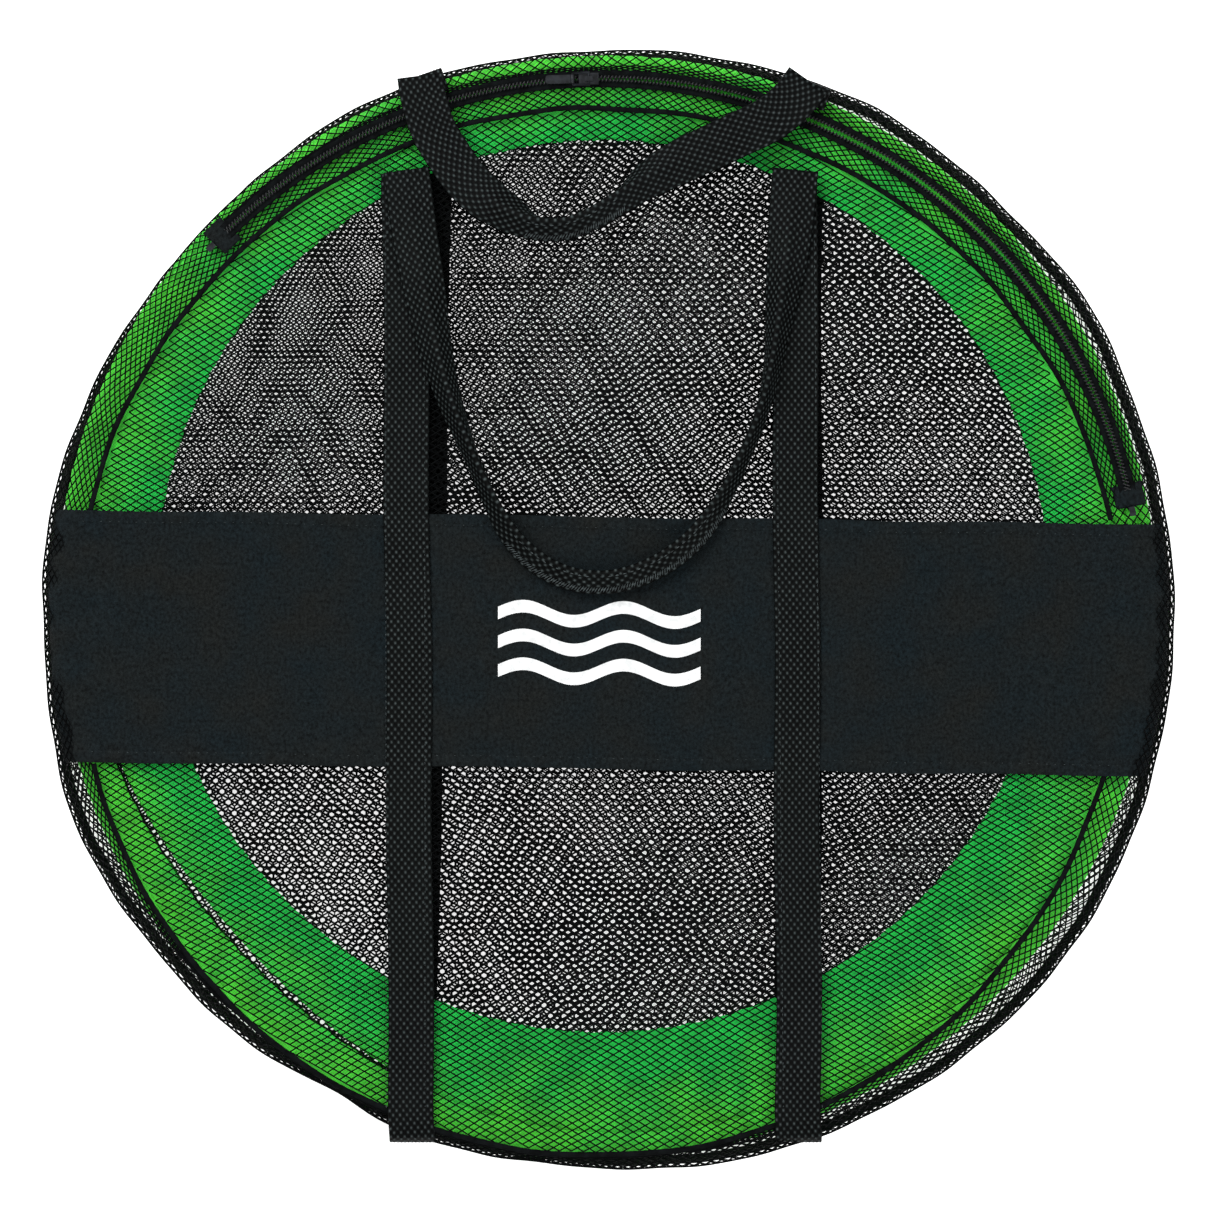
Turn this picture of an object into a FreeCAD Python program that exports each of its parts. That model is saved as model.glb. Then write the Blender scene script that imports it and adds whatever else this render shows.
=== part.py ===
"""A hoop crab trap folded flat inside its round carry bag, made of net.

The bag lies on its back: +Z comes out of its front panel, +Y points to its zipped
mouth and +X to its right-hand side. The origin is the middle of the underside.
All sizes are in millimetres.
"""

import math
import os

import FreeCAD, Part

Vector = FreeCAD.Vector
UP = Vector(0, 0, 1)

# ---- carry bag ----
RIM_RADIUS = 311.0  # outside of the binding round the back panel
RIM_BINDING_WIDTH = 8.0
RIM_BINDING_HEIGHT = 2.6
RIM_BINDING_WALL = 1.4
NET_THICKNESS = 1.0  # knotless net, and the net of the side wall
SIDE_HEIGHT = 33.0  # side wall, from the back panel to the front
FRONT_INSET = 20.0  # the front panel is this much smaller than the back one
FRONT_CENTRE = (-4.0, -14.0)  # and shifted away from the mouth
PIPING_WIDTH = 3.2
PIPING_HEIGHT = 0.8
CLOTH_GAP = 0.3  # between pieces that lie side by side

# ---- fabric band across the front ----
BAND_HEIGHT = 140.0
BAND_MIDDLE = -20.5  # its middle, along Y
BAND_TILT = -0.75  # degrees
BAND_THICKNESS = 0.8
BAND_END_ROOM = 6.0  # from the band's ends to the rim
HEM_WIDTH = 7.0
HEM_THICKNESS = 0.5
EMBLEM_MIDDLE = -4.0  # along X
EMBLEM_WIDTH = 112.0
EMBLEM_STRIPE = 7.0
EMBLEM_PITCH = 16.0
EMBLEM_WAVE = 4.0
EMBLEM_POINTS = 9  # four to a wave
EMBLEM_THICKNESS = 0.1
EMBLEM_STRIPES = 3

# ---- webbing ----
WEBBING_WIDTH = 25.4
WEBBING_THICKNESS = 1.6
FRONT_STRAP_INSET = 71.0  # from the front straps' top ends to the rim
FRONT_STRAP_ENDS = {"left": (-112.0, -108.0), "right": (104.5, 107.0)}  # top, bottom
BACK_STRAP_ENDS = {"left": (-103.0, -108.0), "right": (113.0, 107.0)}
STRAP_RIM_GAP = 1.6  # where the straps turn round the bottom rim
MOUTH_RIM_GAP = 0.93  # and where the back ones turn up at the mouth
PIPING_CLEAR = 1.6  # the straps' underlay stops this far short of the piping
BAND_CLEAR = 3.0  # and this far from the leaning edges of the band
TACK_MARGIN = 3.7
TACK_WIDTH = 2.4
TACK_THICKNESS = 0.35
TACK_FROM_END = 7.0
TACK_SPACING = 22.0

# ---- handles ----
FOLD_RADIUS = 1.6  # the roll of webbing that a handle swings on
FOLD_CLEARANCE = 0.4
GRIP_WIDTH = 13.0
GRIP_THICKNESS = 5.0
GRIP_SPLIT = 0.0003  # share of the route between the grip and the webbing
FRONT_AXIS_PAST = 1.0  # from the front straps' top ends to the roll's axis
FRONT_HANDLE_HANG = [
    (-103.5, -51.0),
    (-85.0, -129.0),
    (-48.0, -201.0),
    (-3.0, -222.0),
    (46.0, -199.0),
    (83.0, -137.0),
    (98.5, -60.0),
]  # X, and Y from the axis, between the two ends
FRONT_GRIP_SPAN = (0.39, 0.64)  # the stretch of the route that is the grip
BACK_AXIS_INSET = 5.5  # from where the back straps turn up in to the roll's axis
BACK_HANDLE_HANG = [
    (-95.0, -32.0),
    (-66.0, -67.0),
    (-26.0, -79.0),
    (20.0, -56.0),
    (76.0, -25.0),
]
BACK_GRIP_SPAN = (0.36, 0.62)
HANDLE_POINTS = 14  # along each stretch of a handle
BACK_HANDLE_LIFT = 3.0  # back handle over the front one

# ---- zip in the side wall ----
ZIP_INSET = 10.8  # its circle is this much smaller than the rim
ZIP_CENTRE = (-2.0, -7.0)
ZIP_BAND_ROOM = 9.83  # from the band's top edge, out there, to the start of the coil
ZIP_END = 136.0  # degrees
ZIP_SLIDER_AT = 91.5
ZIP_END_MARGIN = 10.5  # of tape past the coil
TAPE_WIDTH = 7.0
TAPE_SLOT = 2.0  # between the two tapes
COIL_WIDTH = 1.6
COIL_HEIGHT = 2.0
COIL_SLOT = 0.25
STOP_LENGTH = 1.0  # degrees
STOP_HEIGHT = 3.0
END_TAB_LENGTH = 3.4  # degrees
END_TAB_GAP = 0.1  # degrees, from a stop to its tab
END_TAB_THICKNESS = 0.8
SLIDER_LENGTH = 11.0
SLIDER_CLEARANCE = 0.4
SLIDER_WALL = 1.1
SLIDER_CAP = 1.3
BRIDGE_LENGTH = 4.4
BRIDGE_WIDTH = 2.6
BRIDGE_HEIGHT = 2.4
PULL_PIN_RADIUS = 0.6
PULL_PIN_CLEARANCE = 0.08
PULL_WIRE = 1.2
PULL_LOOP_LENGTH = 9.0
PULL_LOOP_WIDTH = 6.6
TAB_LENGTH = 15.0
TAB_SIDE_GAP = 0.3  # between the tab and the loop's two sides
TAB_THICKNESS = 1.0
TAB_ROLL_WALL = 0.5
TAB_CORNER = 1.8

# ---- trap ----
HOOP_ROOM = 3.3  # between the hoops' sleeves and the bag's side wall
WIRE_RADIUS = 2.0
SLEEVE_ROOM = 0.2  # between the sleeve and the ferrule inside it
SLEEVE_WALL = 0.6
FERRULE_WALL = 1.2
FERRULE_CLEARANCE = 0.1
FERRULE_LENGTH = 8.0  # degrees of the hoop
HOOP_LIFT = 0.8  # bottom hoop over the bag's back panel
HOOP_TOP_ROOM = 3.2  # top hoop under the bag's front
FERRULE_AT = {"bottom": 200.0, "middle": 320.0, "top": 80.0}
PANEL_THICKNESS = 0.8
PANEL_LAP = 0.4  # the end panels' edges under the sleeves' round
PANEL_TUCK = 0.6  # and inside the sleeves' height
WALL_GAP = 0.6  # from the sleeves to where the side net starts
WALL_FOLD_DEPTH = 46.4  # from there to the inner edge of its fold
WALL_NET_THICKNESS = 1.0
WALL_START = 0.7  # over the middle of the hoop
THROAT_MIDDLE = -20.0  # of both throats, along Y
THROAT_HOOP_GAP = 0.6
THROAT_INNER = 160.0
THROAT_MOUTH_WIDTH = 140.0
THROAT_NECK_WIDTH = 92.0
THROAT_MOUTH_HEIGHT = 1.2
THROAT_NECK_HEIGHT = 8.0
THROAT_NET = 0.8
THROAT_FLAT_GAP = 0.4
POUCH_LENGTH = 110.0
POUCH_WIDTH = 80.0
POUCH_HEIGHT = 5.6
POUCH_CORNER = 14.0
POUCH_MIDDLE = (-4.0, -22.0)
POUCH_GAP = 0.4
CLIP_LENGTH = 22.0
CLIP_WIDTH = 9.0
CLIP_HEIGHT = 2.2
CLIP_WALL = 2.4

# ---- what follows from these, round the bag ----
FRONT_RADIUS = RIM_RADIUS - FRONT_INSET
SIDE_OUTER = RIM_RADIUS - RIM_BINDING_WALL - CLOTH_GAP
BAND_HALF_LENGTH = RIM_RADIUS - BAND_END_ROOM
ZIP_RADIUS = RIM_RADIUS - ZIP_INSET
BAND_DROP = ZIP_RADIUS * math.tan(math.radians(BAND_TILT))  # of its edge at the zip
ZIP_START_Y = BAND_MIDDLE + BAND_HEIGHT / 2 + BAND_DROP + ZIP_BAND_ROOM
ZIP_START = math.degrees(math.asin((ZIP_START_Y - ZIP_CENTRE[1]) / ZIP_RADIUS))
TAB_WIDTH = PULL_LOOP_WIDTH - PULL_WIRE - 2 * TAB_SIDE_GAP
TACK_LENGTH = WEBBING_WIDTH - 2 * TACK_MARGIN


def rim_reach(positions):
    """How far along Y the rim goes at the inner edge of the innermost strap."""
    inner = min(abs(x) for x in positions) - WEBBING_WIDTH / 2
    return math.sqrt(RIM_RADIUS**2 - inner**2)


FRONT_STRAP_TOP = RIM_RADIUS - FRONT_STRAP_INSET
STRAP_BOTTOM = -rim_reach([x for _, x in FRONT_STRAP_ENDS.values()]) - STRAP_RIM_GAP
BACK_STRAP_TOP = rim_reach([x for x, _ in BACK_STRAP_ENDS.values()]) + MOUTH_RIM_GAP
SLEEVE_RADIUS = WIRE_RADIUS + FERRULE_WALL + SLEEVE_ROOM + SLEEVE_WALL
HOOP_RADIUS = SIDE_OUTER - NET_THICKNESS - HOOP_ROOM - SLEEVE_RADIUS
SLEEVE_INNER = HOOP_RADIUS - SLEEVE_RADIUS
PANEL_RADIUS = SLEEVE_INNER + PANEL_LAP
WALL_OUTER = SLEEVE_INNER - WALL_GAP
WALL_FOLD_RADIUS = WALL_OUTER - WALL_FOLD_DEPTH
THROAT_CORNER = abs(THROAT_MIDDLE) + THROAT_MOUTH_WIDTH / 2
THROAT_OUTER = math.sqrt((SLEEVE_INNER - THROAT_HOOP_GAP) ** 2 - THROAT_CORNER**2)

# ---- levels, from the floor up ----
BINDING_Z = WEBBING_THICKNESS
BACK_NET_Z = BINDING_Z + RIM_BINDING_WALL
SIDE_Z = BACK_NET_Z
FRONT_Z = SIDE_Z + SIDE_HEIGHT
FRONT_TOP = FRONT_Z + NET_THICKNESS
STRAP_Z = FRONT_TOP + BAND_THICKNESS
STRAP_TOP = STRAP_Z + WEBBING_THICKNESS
FRONT_AXIS_Z = STRAP_TOP + FOLD_CLEARANCE + FOLD_RADIUS
BACK_AXIS_Z = FRONT_AXIS_Z + FOLD_RADIUS + BACK_HANDLE_LIFT
COIL_TOP = FRONT_TOP + COIL_HEIGHT
SLIDER_TOP = COIL_TOP + SLIDER_CLEARANCE + SLIDER_CAP
PULL_Z = SLIDER_TOP + BRIDGE_HEIGHT / 2
BOTTOM_HOOP_Z = BACK_NET_Z + NET_THICKNESS + HOOP_LIFT + SLEEVE_RADIUS
TOP_HOOP_Z = FRONT_Z - HOOP_TOP_ROOM - SLEEVE_RADIUS
HOOP_SPACING = (TOP_HOOP_Z - BOTTOM_HOOP_Z) / 2

CUT = 1.0  # a cutting shape reaches this far past what it cuts


def disc(radius, low, high, centre=(0, 0)):
    """A round plate between two levels."""
    return Part.makeCylinder(radius, high - low, Vector(*centre, low))


def ring(outer, inner, low, high, centre=(0, 0)):
    """A flat ring between two levels."""
    return disc(outer, low, high, centre).cut(disc(inner, low - CUT, high + CUT, centre))


def wedge(start, end, low, high, centre=(0, 0)):
    """A pie slice, from one angle round to another, that is larger than the bag."""
    slice_ = Part.makeCylinder(
        2 * RIM_RADIUS, high - low, Vector(0, 0, 0), UP, end - start
    )
    slice_.rotate(Vector(0, 0, 0), UP, start)
    slice_.translate(Vector(*centre, low))
    return slice_


def plate(corners, low, high):
    """A flat plate with straight sides."""
    points = [Vector(x, y, low) for x, y in corners]
    face = Part.Face(Part.makePolygon(points + points[:1]))
    return face.extrude(Vector(0, 0, high - low))


def block(low, high):
    """A box from its lowest corner to its highest."""
    size = [b - a for a, b in zip(low, high)]
    return Part.makeBox(*size, Vector(*low))


def hoop_tube(radius, height, start=0.0, length=360.0):
    """A round bar bent along the hoop's circle, or along part of it."""
    tube = Part.makeTorus(
        HOOP_RADIUS, radius, Vector(0, 0, height), UP, 0, 360, length
    )
    tube.rotate(Vector(0, 0, 0), UP, start)
    return tube


# ---------------------------------------------------------------- the bag


def back_net_panel():
    radius = SIDE_OUTER - NET_THICKNESS - CLOTH_GAP
    return disc(radius, BACK_NET_Z, BACK_NET_Z + NET_THICKNESS)


def back_rim_binding():
    """Tape folded round the edge of the back panel, with its upright leg outside."""
    inner = RIM_RADIUS - RIM_BINDING_WIDTH
    leg = RIM_RADIUS - RIM_BINDING_WALL
    flange = ring(RIM_RADIUS, inner, BINDING_Z, BACK_NET_Z)
    upright = ring(RIM_RADIUS, leg, BINDING_Z, BINDING_Z + RIM_BINDING_HEIGHT)
    return flange.fuse(upright)


MARGIN_TURN = math.degrees(ZIP_END_MARGIN / ZIP_RADIUS)
MOUTH = (ZIP_START - MARGIN_TURN, ZIP_END + MARGIN_TURN)


def side_wall(start, end):
    """Part of the upright net wall, between two angles."""
    wall = ring(SIDE_OUTER, SIDE_OUTER - NET_THICKNESS, SIDE_Z, FRONT_Z)
    return wall.common(wedge(start, end, SIDE_Z, FRONT_Z, ZIP_CENTRE))


def side_wall_lower():
    return side_wall(MOUTH[1], MOUTH[0] + 360)


def side_wall_mouth():
    return side_wall(*MOUTH)


def lip_lower():
    """The net between the side wall and the front panel, away from the mouth."""
    whole = disc(SIDE_OUTER, FRONT_Z, FRONT_TOP)
    whole = whole.cut(disc(FRONT_RADIUS, FRONT_Z - CUT, FRONT_TOP + CUT, FRONT_CENTRE))
    return whole.common(wedge(MOUTH[1], MOUTH[0] + 360, FRONT_Z, FRONT_TOP, ZIP_CENTRE))


TAPE_INNER = ZIP_RADIUS - TAPE_SLOT / 2
TAPE_OUTER = ZIP_RADIUS + TAPE_SLOT / 2


def lip_mouth_rim():
    """The net between the side wall and the zip."""
    whole = disc(SIDE_OUTER, FRONT_Z, FRONT_TOP)
    hole = disc(TAPE_OUTER + TAPE_WIDTH, FRONT_Z - CUT, FRONT_TOP + CUT, ZIP_CENTRE)
    return whole.cut(hole).common(wedge(*MOUTH, FRONT_Z, FRONT_TOP, ZIP_CENTRE))


def lip_mouth_front():
    """The net between the zip and the front panel."""
    whole = disc(TAPE_INNER - TAPE_WIDTH, FRONT_Z, FRONT_TOP, ZIP_CENTRE)
    hole = disc(FRONT_RADIUS, FRONT_Z - CUT, FRONT_TOP + CUT, FRONT_CENTRE)
    return whole.cut(hole).common(wedge(*MOUTH, FRONT_Z, FRONT_TOP, ZIP_CENTRE))


def front_net_panel():
    return disc(FRONT_RADIUS, FRONT_Z, FRONT_TOP, FRONT_CENTRE)


def band_strip(half_height, low, high, middle=0.0, grow=0.0):
    """A strip across the front at the band's tilt, running past the rim."""
    half = 2 * BAND_HALF_LENGTH
    strip = block(
        (-half, middle - half_height - grow, low),
        (half, middle + half_height + grow, high),
    )
    strip.rotate(Vector(0, 0, 0), UP, BAND_TILT)
    strip.translate(Vector(0, BAND_MIDDLE, 0))
    return strip


def band_shape(half_height, low, high, middle=0.0):
    """A strip across the front at the band's tilt, cut off round at the rim."""
    strip = band_strip(half_height, low, high, middle)
    return strip.common(disc(BAND_HALF_LENGTH, low, high))


def front_piping():
    """The seam round the front panel, which the band covers where they cross."""
    outer = FRONT_RADIUS + PIPING_WIDTH / 2
    seam = ring(
        outer,
        outer - PIPING_WIDTH,
        FRONT_TOP,
        FRONT_TOP + PIPING_HEIGHT,
        FRONT_CENTRE,
    )
    band = band_strip(BAND_HEIGHT / 2, FRONT_TOP - CUT, STRAP_Z + CUT, grow=CLOTH_GAP)
    return seam.cut(band)


def front_band():
    return band_shape(BAND_HEIGHT / 2, FRONT_TOP, STRAP_Z)


def band_hem(side):
    """A folded hem along one edge of the band, between and beside the straps."""
    middle = side * (BAND_HEIGHT - HEM_WIDTH) / 2
    hem = band_shape(HEM_WIDTH / 2, STRAP_Z, STRAP_Z + HEM_THICKNESS, middle)
    for name in FRONT_STRAP_ENDS:
        hem = hem.cut(strap_run(name, STRAP_Z - CUT, STRAP_TOP, grow=CLOTH_GAP))
    return hem


def emblem_stripe(height):
    """One wavy stripe, its two long edges the same curve at two heights."""
    step = EMBLEM_WIDTH / (EMBLEM_POINTS - 1)
    xs = [step * n - EMBLEM_WIDTH / 2 for n in range(EMBLEM_POINTS)]
    edges = []
    for offset in (-EMBLEM_STRIPE / 2, EMBLEM_STRIPE / 2):
        points = [
            Vector(x, height + offset + EMBLEM_WAVE * math.sin(math.pi * n / 2), STRAP_Z)
            for n, x in enumerate(xs)
        ]
        curve = Part.BSplineCurve()
        curve.interpolate(points)
        edges.append((curve.toShape(), points))
    (lower, low_points), (upper, high_points) = edges
    left = Part.makeLine(low_points[0], high_points[0])
    right = Part.makeLine(low_points[-1], high_points[-1])
    face = Part.Face(Part.Wire([lower, right, upper.reversed(), left.reversed()]))
    return face.extrude(Vector(0, 0, EMBLEM_THICKNESS))


def band_emblem():
    """A plain mark of wavy stripes, printed on the middle of the band."""
    first = -EMBLEM_PITCH * (EMBLEM_STRIPES - 1) / 2
    stripes = [emblem_stripe(first + EMBLEM_PITCH * n) for n in range(EMBLEM_STRIPES)]
    mark = Part.makeCompound(stripes)
    mark.rotate(Vector(0, 0, 0), UP, BAND_TILT)
    mark.translate(Vector(EMBLEM_MIDDLE, BAND_MIDDLE, 0))
    return mark


# ---------------------------------------------------------------- webbing straps


def leaning(x0, y0, x1, y1, low, high, grow=0.0):
    """A flat length of webbing between two places, cut off square to Y."""
    half = WEBBING_WIDTH / 2 + grow
    corners = [(x0 - half, y0), (x0 + half, y0), (x1 + half, y1), (x1 - half, y1)]
    return plate(corners, low, high)


def strap_run(name, low, high, bottom=STRAP_BOTTOM, top=FRONT_STRAP_TOP, grow=0.0):
    """A length of front strap, which leans a little between its two ends."""
    at_top, at_bottom = FRONT_STRAP_ENDS[name]
    lean = (at_top - at_bottom) / (FRONT_STRAP_TOP - STRAP_BOTTOM)
    (x0, y0), (x1, y1) = [(at_bottom + lean * (y - STRAP_BOTTOM), y) for y in (bottom, top)]
    return leaning(x0, y0, x1, y1, low, high, grow)


def underlay_bottom(name):
    """Where the strap's underlay ends, inside the piping at its outer edge."""
    outer = abs(FRONT_STRAP_ENDS[name][1] - FRONT_CENTRE[0]) + WEBBING_WIDTH / 2
    inside = FRONT_RADIUS - PIPING_WIDTH / 2 - PIPING_CLEAR
    return FRONT_CENTRE[1] - math.sqrt(inside**2 - outer**2)


def strap_front(name):
    """A strap sewn down the front, over the band, and round the bottom rim."""
    strap = strap_run(name, STRAP_Z, STRAP_TOP)
    below = BAND_MIDDLE - BAND_HEIGHT / 2 - BAND_CLEAR
    above = BAND_MIDDLE + BAND_HEIGHT / 2 + BAND_CLEAR
    lower = strap_run(name, FRONT_TOP, STRAP_Z, underlay_bottom(name), below)
    upper = strap_run(name, FRONT_TOP, STRAP_Z, above, FRONT_STRAP_TOP)
    x = FRONT_STRAP_ENDS[name][1]
    half = WEBBING_WIDTH / 2
    wrap = block(
        (x - half, STRAP_BOTTOM - WEBBING_THICKNESS, 0),
        (x + half, STRAP_BOTTOM, STRAP_TOP),
    )
    return strap.fuse([lower, upper, wrap])


def strap_back(name):
    """A strap under the back panel, which turns up and in over the rim at the mouth."""
    x, at_bottom = BACK_STRAP_ENDS[name]
    bottom = STRAP_BOTTOM + CLOTH_GAP
    flat = leaning(at_bottom, bottom, x, BACK_STRAP_TOP, 0, WEBBING_THICKNESS)
    half = WEBBING_WIDTH / 2
    top = BACK_AXIS_Z - FOLD_RADIUS - FOLD_CLEARANCE
    outside = BACK_STRAP_TOP + WEBBING_THICKNESS
    turned = block((x - half, BACK_STRAP_TOP, 0), (x + half, outside, top))
    end = BACK_STRAP_TOP - BACK_AXIS_INSET - FOLD_RADIUS
    over = block((x - half, end, top - WEBBING_THICKNESS), (x + half, outside, top))
    return flat.fuse([turned, over])


def strap_tacks():
    """Bars of close stitching that hold the top ends of the front straps."""
    tacks = []
    for at_top, _ in FRONT_STRAP_ENDS.values():
        for row in range(2):
            y = FRONT_STRAP_TOP - TACK_FROM_END - TACK_SPACING * row
            low = (at_top - TACK_LENGTH / 2, y - TACK_WIDTH / 2, STRAP_TOP)
            high = (
                at_top + TACK_LENGTH / 2,
                y + TACK_WIDTH / 2,
                STRAP_TOP + TACK_THICKNESS,
            )
            tacks.append(block(low, high))
    return Part.makeCompound(tacks)


# ---------------------------------------------------------------- handles


def handle_route(ends, axis_y, hang):
    """The places a handle passes through, from its left roll to its right one."""
    left, right = ends["left"][0], ends["right"][0]
    return [(left, axis_y), *((x, axis_y + drop) for x, drop in hang), (right, axis_y)]


FRONT_AXIS_Y = FRONT_STRAP_TOP + FRONT_AXIS_PAST
FRONT_HANDLE_ROUTE = handle_route(FRONT_STRAP_ENDS, FRONT_AXIS_Y, FRONT_HANDLE_HANG)
BACK_AXIS_Y = BACK_STRAP_TOP - BACK_AXIS_INSET
BACK_HANDLE_ROUTE = handle_route(BACK_STRAP_ENDS, BACK_AXIS_Y, BACK_HANDLE_HANG)


def handle_band(route, start, end, widths, low, high):
    """A flat strip along a smooth route, between two shares of its length.

    widths gives the strip's width at shares of the whole route.
    """
    curve = Part.BSplineCurve()
    curve.interpolate([Vector(x, y, low) for x, y in route])
    first, last = curve.FirstParameter, curve.LastParameter
    sides = ([], [])
    for n in range(HANDLE_POINTS + 1):
        share = start + (end - start) * n / HANDLE_POINTS
        at = first + (last - first) * share
        point, along = curve.value(at), curve.tangent(at)[0]
        across = Vector(-along.y, along.x, 0)
        half = width_at(widths, share) / 2
        sides[0].append(point + across * half)
        sides[1].append(point - across * half)
    edges = []
    for side in sides:
        edge = Part.BSplineCurve()
        edge.interpolate(side)
        edges.append(edge.toShape())
    caps = [Part.makeLine(sides[0][n], sides[1][n]) for n in (0, -1)]
    outline = Part.Wire([edges[0], caps[1], edges[1].reversed(), caps[0].reversed()])
    return Part.Face(outline).extrude(Vector(0, 0, high - low))


def width_at(widths, share):
    """The width between the nearest two (share, width) pairs."""
    for (a, wide_a), (b, wide_b) in zip(widths, widths[1:]):
        if share <= b:
            return wide_a + (wide_b - wide_a) * (share - a) / (b - a)
    return widths[-1][1]


def handle_fold(x, y, z):
    """The roll of webbing at a handle's end."""
    start = Vector(x - WEBBING_WIDTH / 2, y, z)
    return Part.makeCylinder(FOLD_RADIUS, WEBBING_WIDTH, start, Vector(1, 0, 0))


def handle_webbing(route, grip, z):
    """The two arms of a handle, each from its roll to the grip."""
    low, high = z - WEBBING_THICKNESS / 2, z + WEBBING_THICKNESS / 2
    narrow = GRIP_WIDTH
    widths = [(0, WEBBING_WIDTH), (grip[0], narrow), (grip[1], narrow), (1, WEBBING_WIDTH)]
    left = handle_band(route, 0, grip[0] - GRIP_SPLIT, widths, low, high)
    right = handle_band(route, grip[1] + GRIP_SPLIT, 1, widths, low, high)
    arms = []
    for arm, (x, y) in ((left, route[0]), (right, route[-1])):
        low_corner = (-RIM_RADIUS, y, low - CUT)
        past_axis = block(low_corner, (RIM_RADIUS, y + WEBBING_WIDTH, high + CUT))
        arms.append(arm.cut(past_axis).fuse(handle_fold(x, y, z)))
    return Part.makeCompound(arms)


def handle_grip(route, grip, z):
    """Webbing folded lengthwise and sewn, in the middle of a handle."""
    widths = [(0, GRIP_WIDTH), (1, GRIP_WIDTH)]
    low = z - WEBBING_THICKNESS / 2
    return handle_band(route, *grip, widths, low, low + GRIP_THICKNESS)


# ---------------------------------------------------------------- zip


def zip_ring(outer, inner, low, high, start, end):
    """A stretch of flat ring round the zip's centre."""
    whole = ring(outer, inner, low, high, ZIP_CENTRE)
    return whole.common(wedge(start, end, low, high, ZIP_CENTRE))


def zip_tape(inner):
    return zip_ring(inner + TAPE_WIDTH, inner, FRONT_Z, FRONT_TOP, *MOUTH)


def zip_coil(inner):
    return zip_ring(inner + COIL_WIDTH, inner, FRONT_TOP, COIL_TOP, ZIP_START, ZIP_END)


COIL_REACH = COIL_SLOT / 2 + COIL_WIDTH


def zip_stops():
    """The crimped stops past both ends of the coil."""
    outer, inner = ZIP_RADIUS + COIL_REACH, ZIP_RADIUS - COIL_REACH
    top = FRONT_TOP + STOP_HEIGHT
    stops = []
    for start in (ZIP_START - STOP_LENGTH, ZIP_END):
        stop = zip_ring(outer, inner, FRONT_TOP, top, start, start + STOP_LENGTH)
        stops.append(stop)
    return Part.makeCompound(stops)


def zip_end_tabs():
    """Folded tape sewn across both ends of the zip."""
    outer = TAPE_OUTER + TAPE_WIDTH - CLOTH_GAP
    inner = TAPE_INNER - TAPE_WIDTH + PIPING_WIDTH
    top = FRONT_TOP + END_TAB_THICKNESS
    gap = STOP_LENGTH + END_TAB_GAP
    tabs = []
    for start in (ZIP_START - gap - END_TAB_LENGTH, ZIP_END + gap):
        tab = zip_ring(outer, inner, FRONT_TOP, top, start, start + END_TAB_LENGTH)
        tabs.append(tab)
    whole = Part.makeCompound(tabs)
    band = band_strip(BAND_HEIGHT / 2, FRONT_TOP - CUT, STRAP_Z + CUT, grow=CLOTH_GAP)
    return whole.cut(band)


def at_slider(shape):
    """Turns a piece made at the top of the zip's circle to where the slider is."""
    shape.rotate(Vector(*ZIP_CENTRE, 0), UP, ZIP_SLIDER_AT - 90)
    return shape


SLIDER_X = ZIP_CENTRE[0]
SLIDER_Y = ZIP_CENTRE[1] + ZIP_RADIUS


def slider_body():
    """A cap over the coil, with a flange down each side of it."""
    half = math.degrees(SLIDER_LENGTH / 2 / ZIP_RADIUS)
    span = (90 - half, 90 + half)
    inner = COIL_REACH + SLIDER_CLEARANCE
    outer = inner + SLIDER_WALL
    low, under = FRONT_TOP + SLIDER_CLEARANCE, COIL_TOP + SLIDER_CLEARANCE
    cap = zip_ring(ZIP_RADIUS + outer, ZIP_RADIUS - outer, under, SLIDER_TOP, *span)
    far = zip_ring(ZIP_RADIUS + outer, ZIP_RADIUS + inner, low, SLIDER_TOP, *span)
    near = zip_ring(ZIP_RADIUS - inner, ZIP_RADIUS - outer, low, SLIDER_TOP, *span)
    return at_slider(cap.fuse([far, near]))


def slider_bridge():
    """The bridge on the cap, with a hole for the pull's pin."""
    low = (SLIDER_X - BRIDGE_LENGTH / 2, SLIDER_Y - BRIDGE_WIDTH / 2, SLIDER_TOP)
    high = (
        SLIDER_X + BRIDGE_LENGTH / 2,
        SLIDER_Y + BRIDGE_WIDTH / 2,
        SLIDER_TOP + BRIDGE_HEIGHT,
    )
    hole = Part.makeCylinder(
        PULL_PIN_RADIUS + PULL_PIN_CLEARANCE,
        2 * BRIDGE_WIDTH,
        Vector(SLIDER_X, SLIDER_Y - BRIDGE_WIDTH, PULL_Z),
        Vector(0, 1, 0),
    )
    return at_slider(block(low, high).cut(hole))


def pull_loop():
    """A wire loop with its pin through the bridge, lying along the zip."""
    half = PULL_LOOP_WIDTH / 2
    wire = PULL_WIRE / 2
    pin = Part.makeCylinder(
        PULL_PIN_RADIUS, 2 * half, Vector(SLIDER_X, SLIDER_Y - half, PULL_Z), Vector(0, 1, 0)
    )
    far = SLIDER_X - PULL_LOOP_LENGTH
    sides = [
        block(
            (far, SLIDER_Y + side * half - wire, PULL_Z - wire),
            (SLIDER_X + wire, SLIDER_Y + side * half + wire, PULL_Z + wire),
        )
        for side in (-1, 1)
    ]
    end = Part.makeCylinder(
        wire, 2 * half, Vector(far, SLIDER_Y - half, PULL_Z), Vector(0, 1, 0)
    )
    return at_slider(pin.fuse([*sides, end]))


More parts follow.
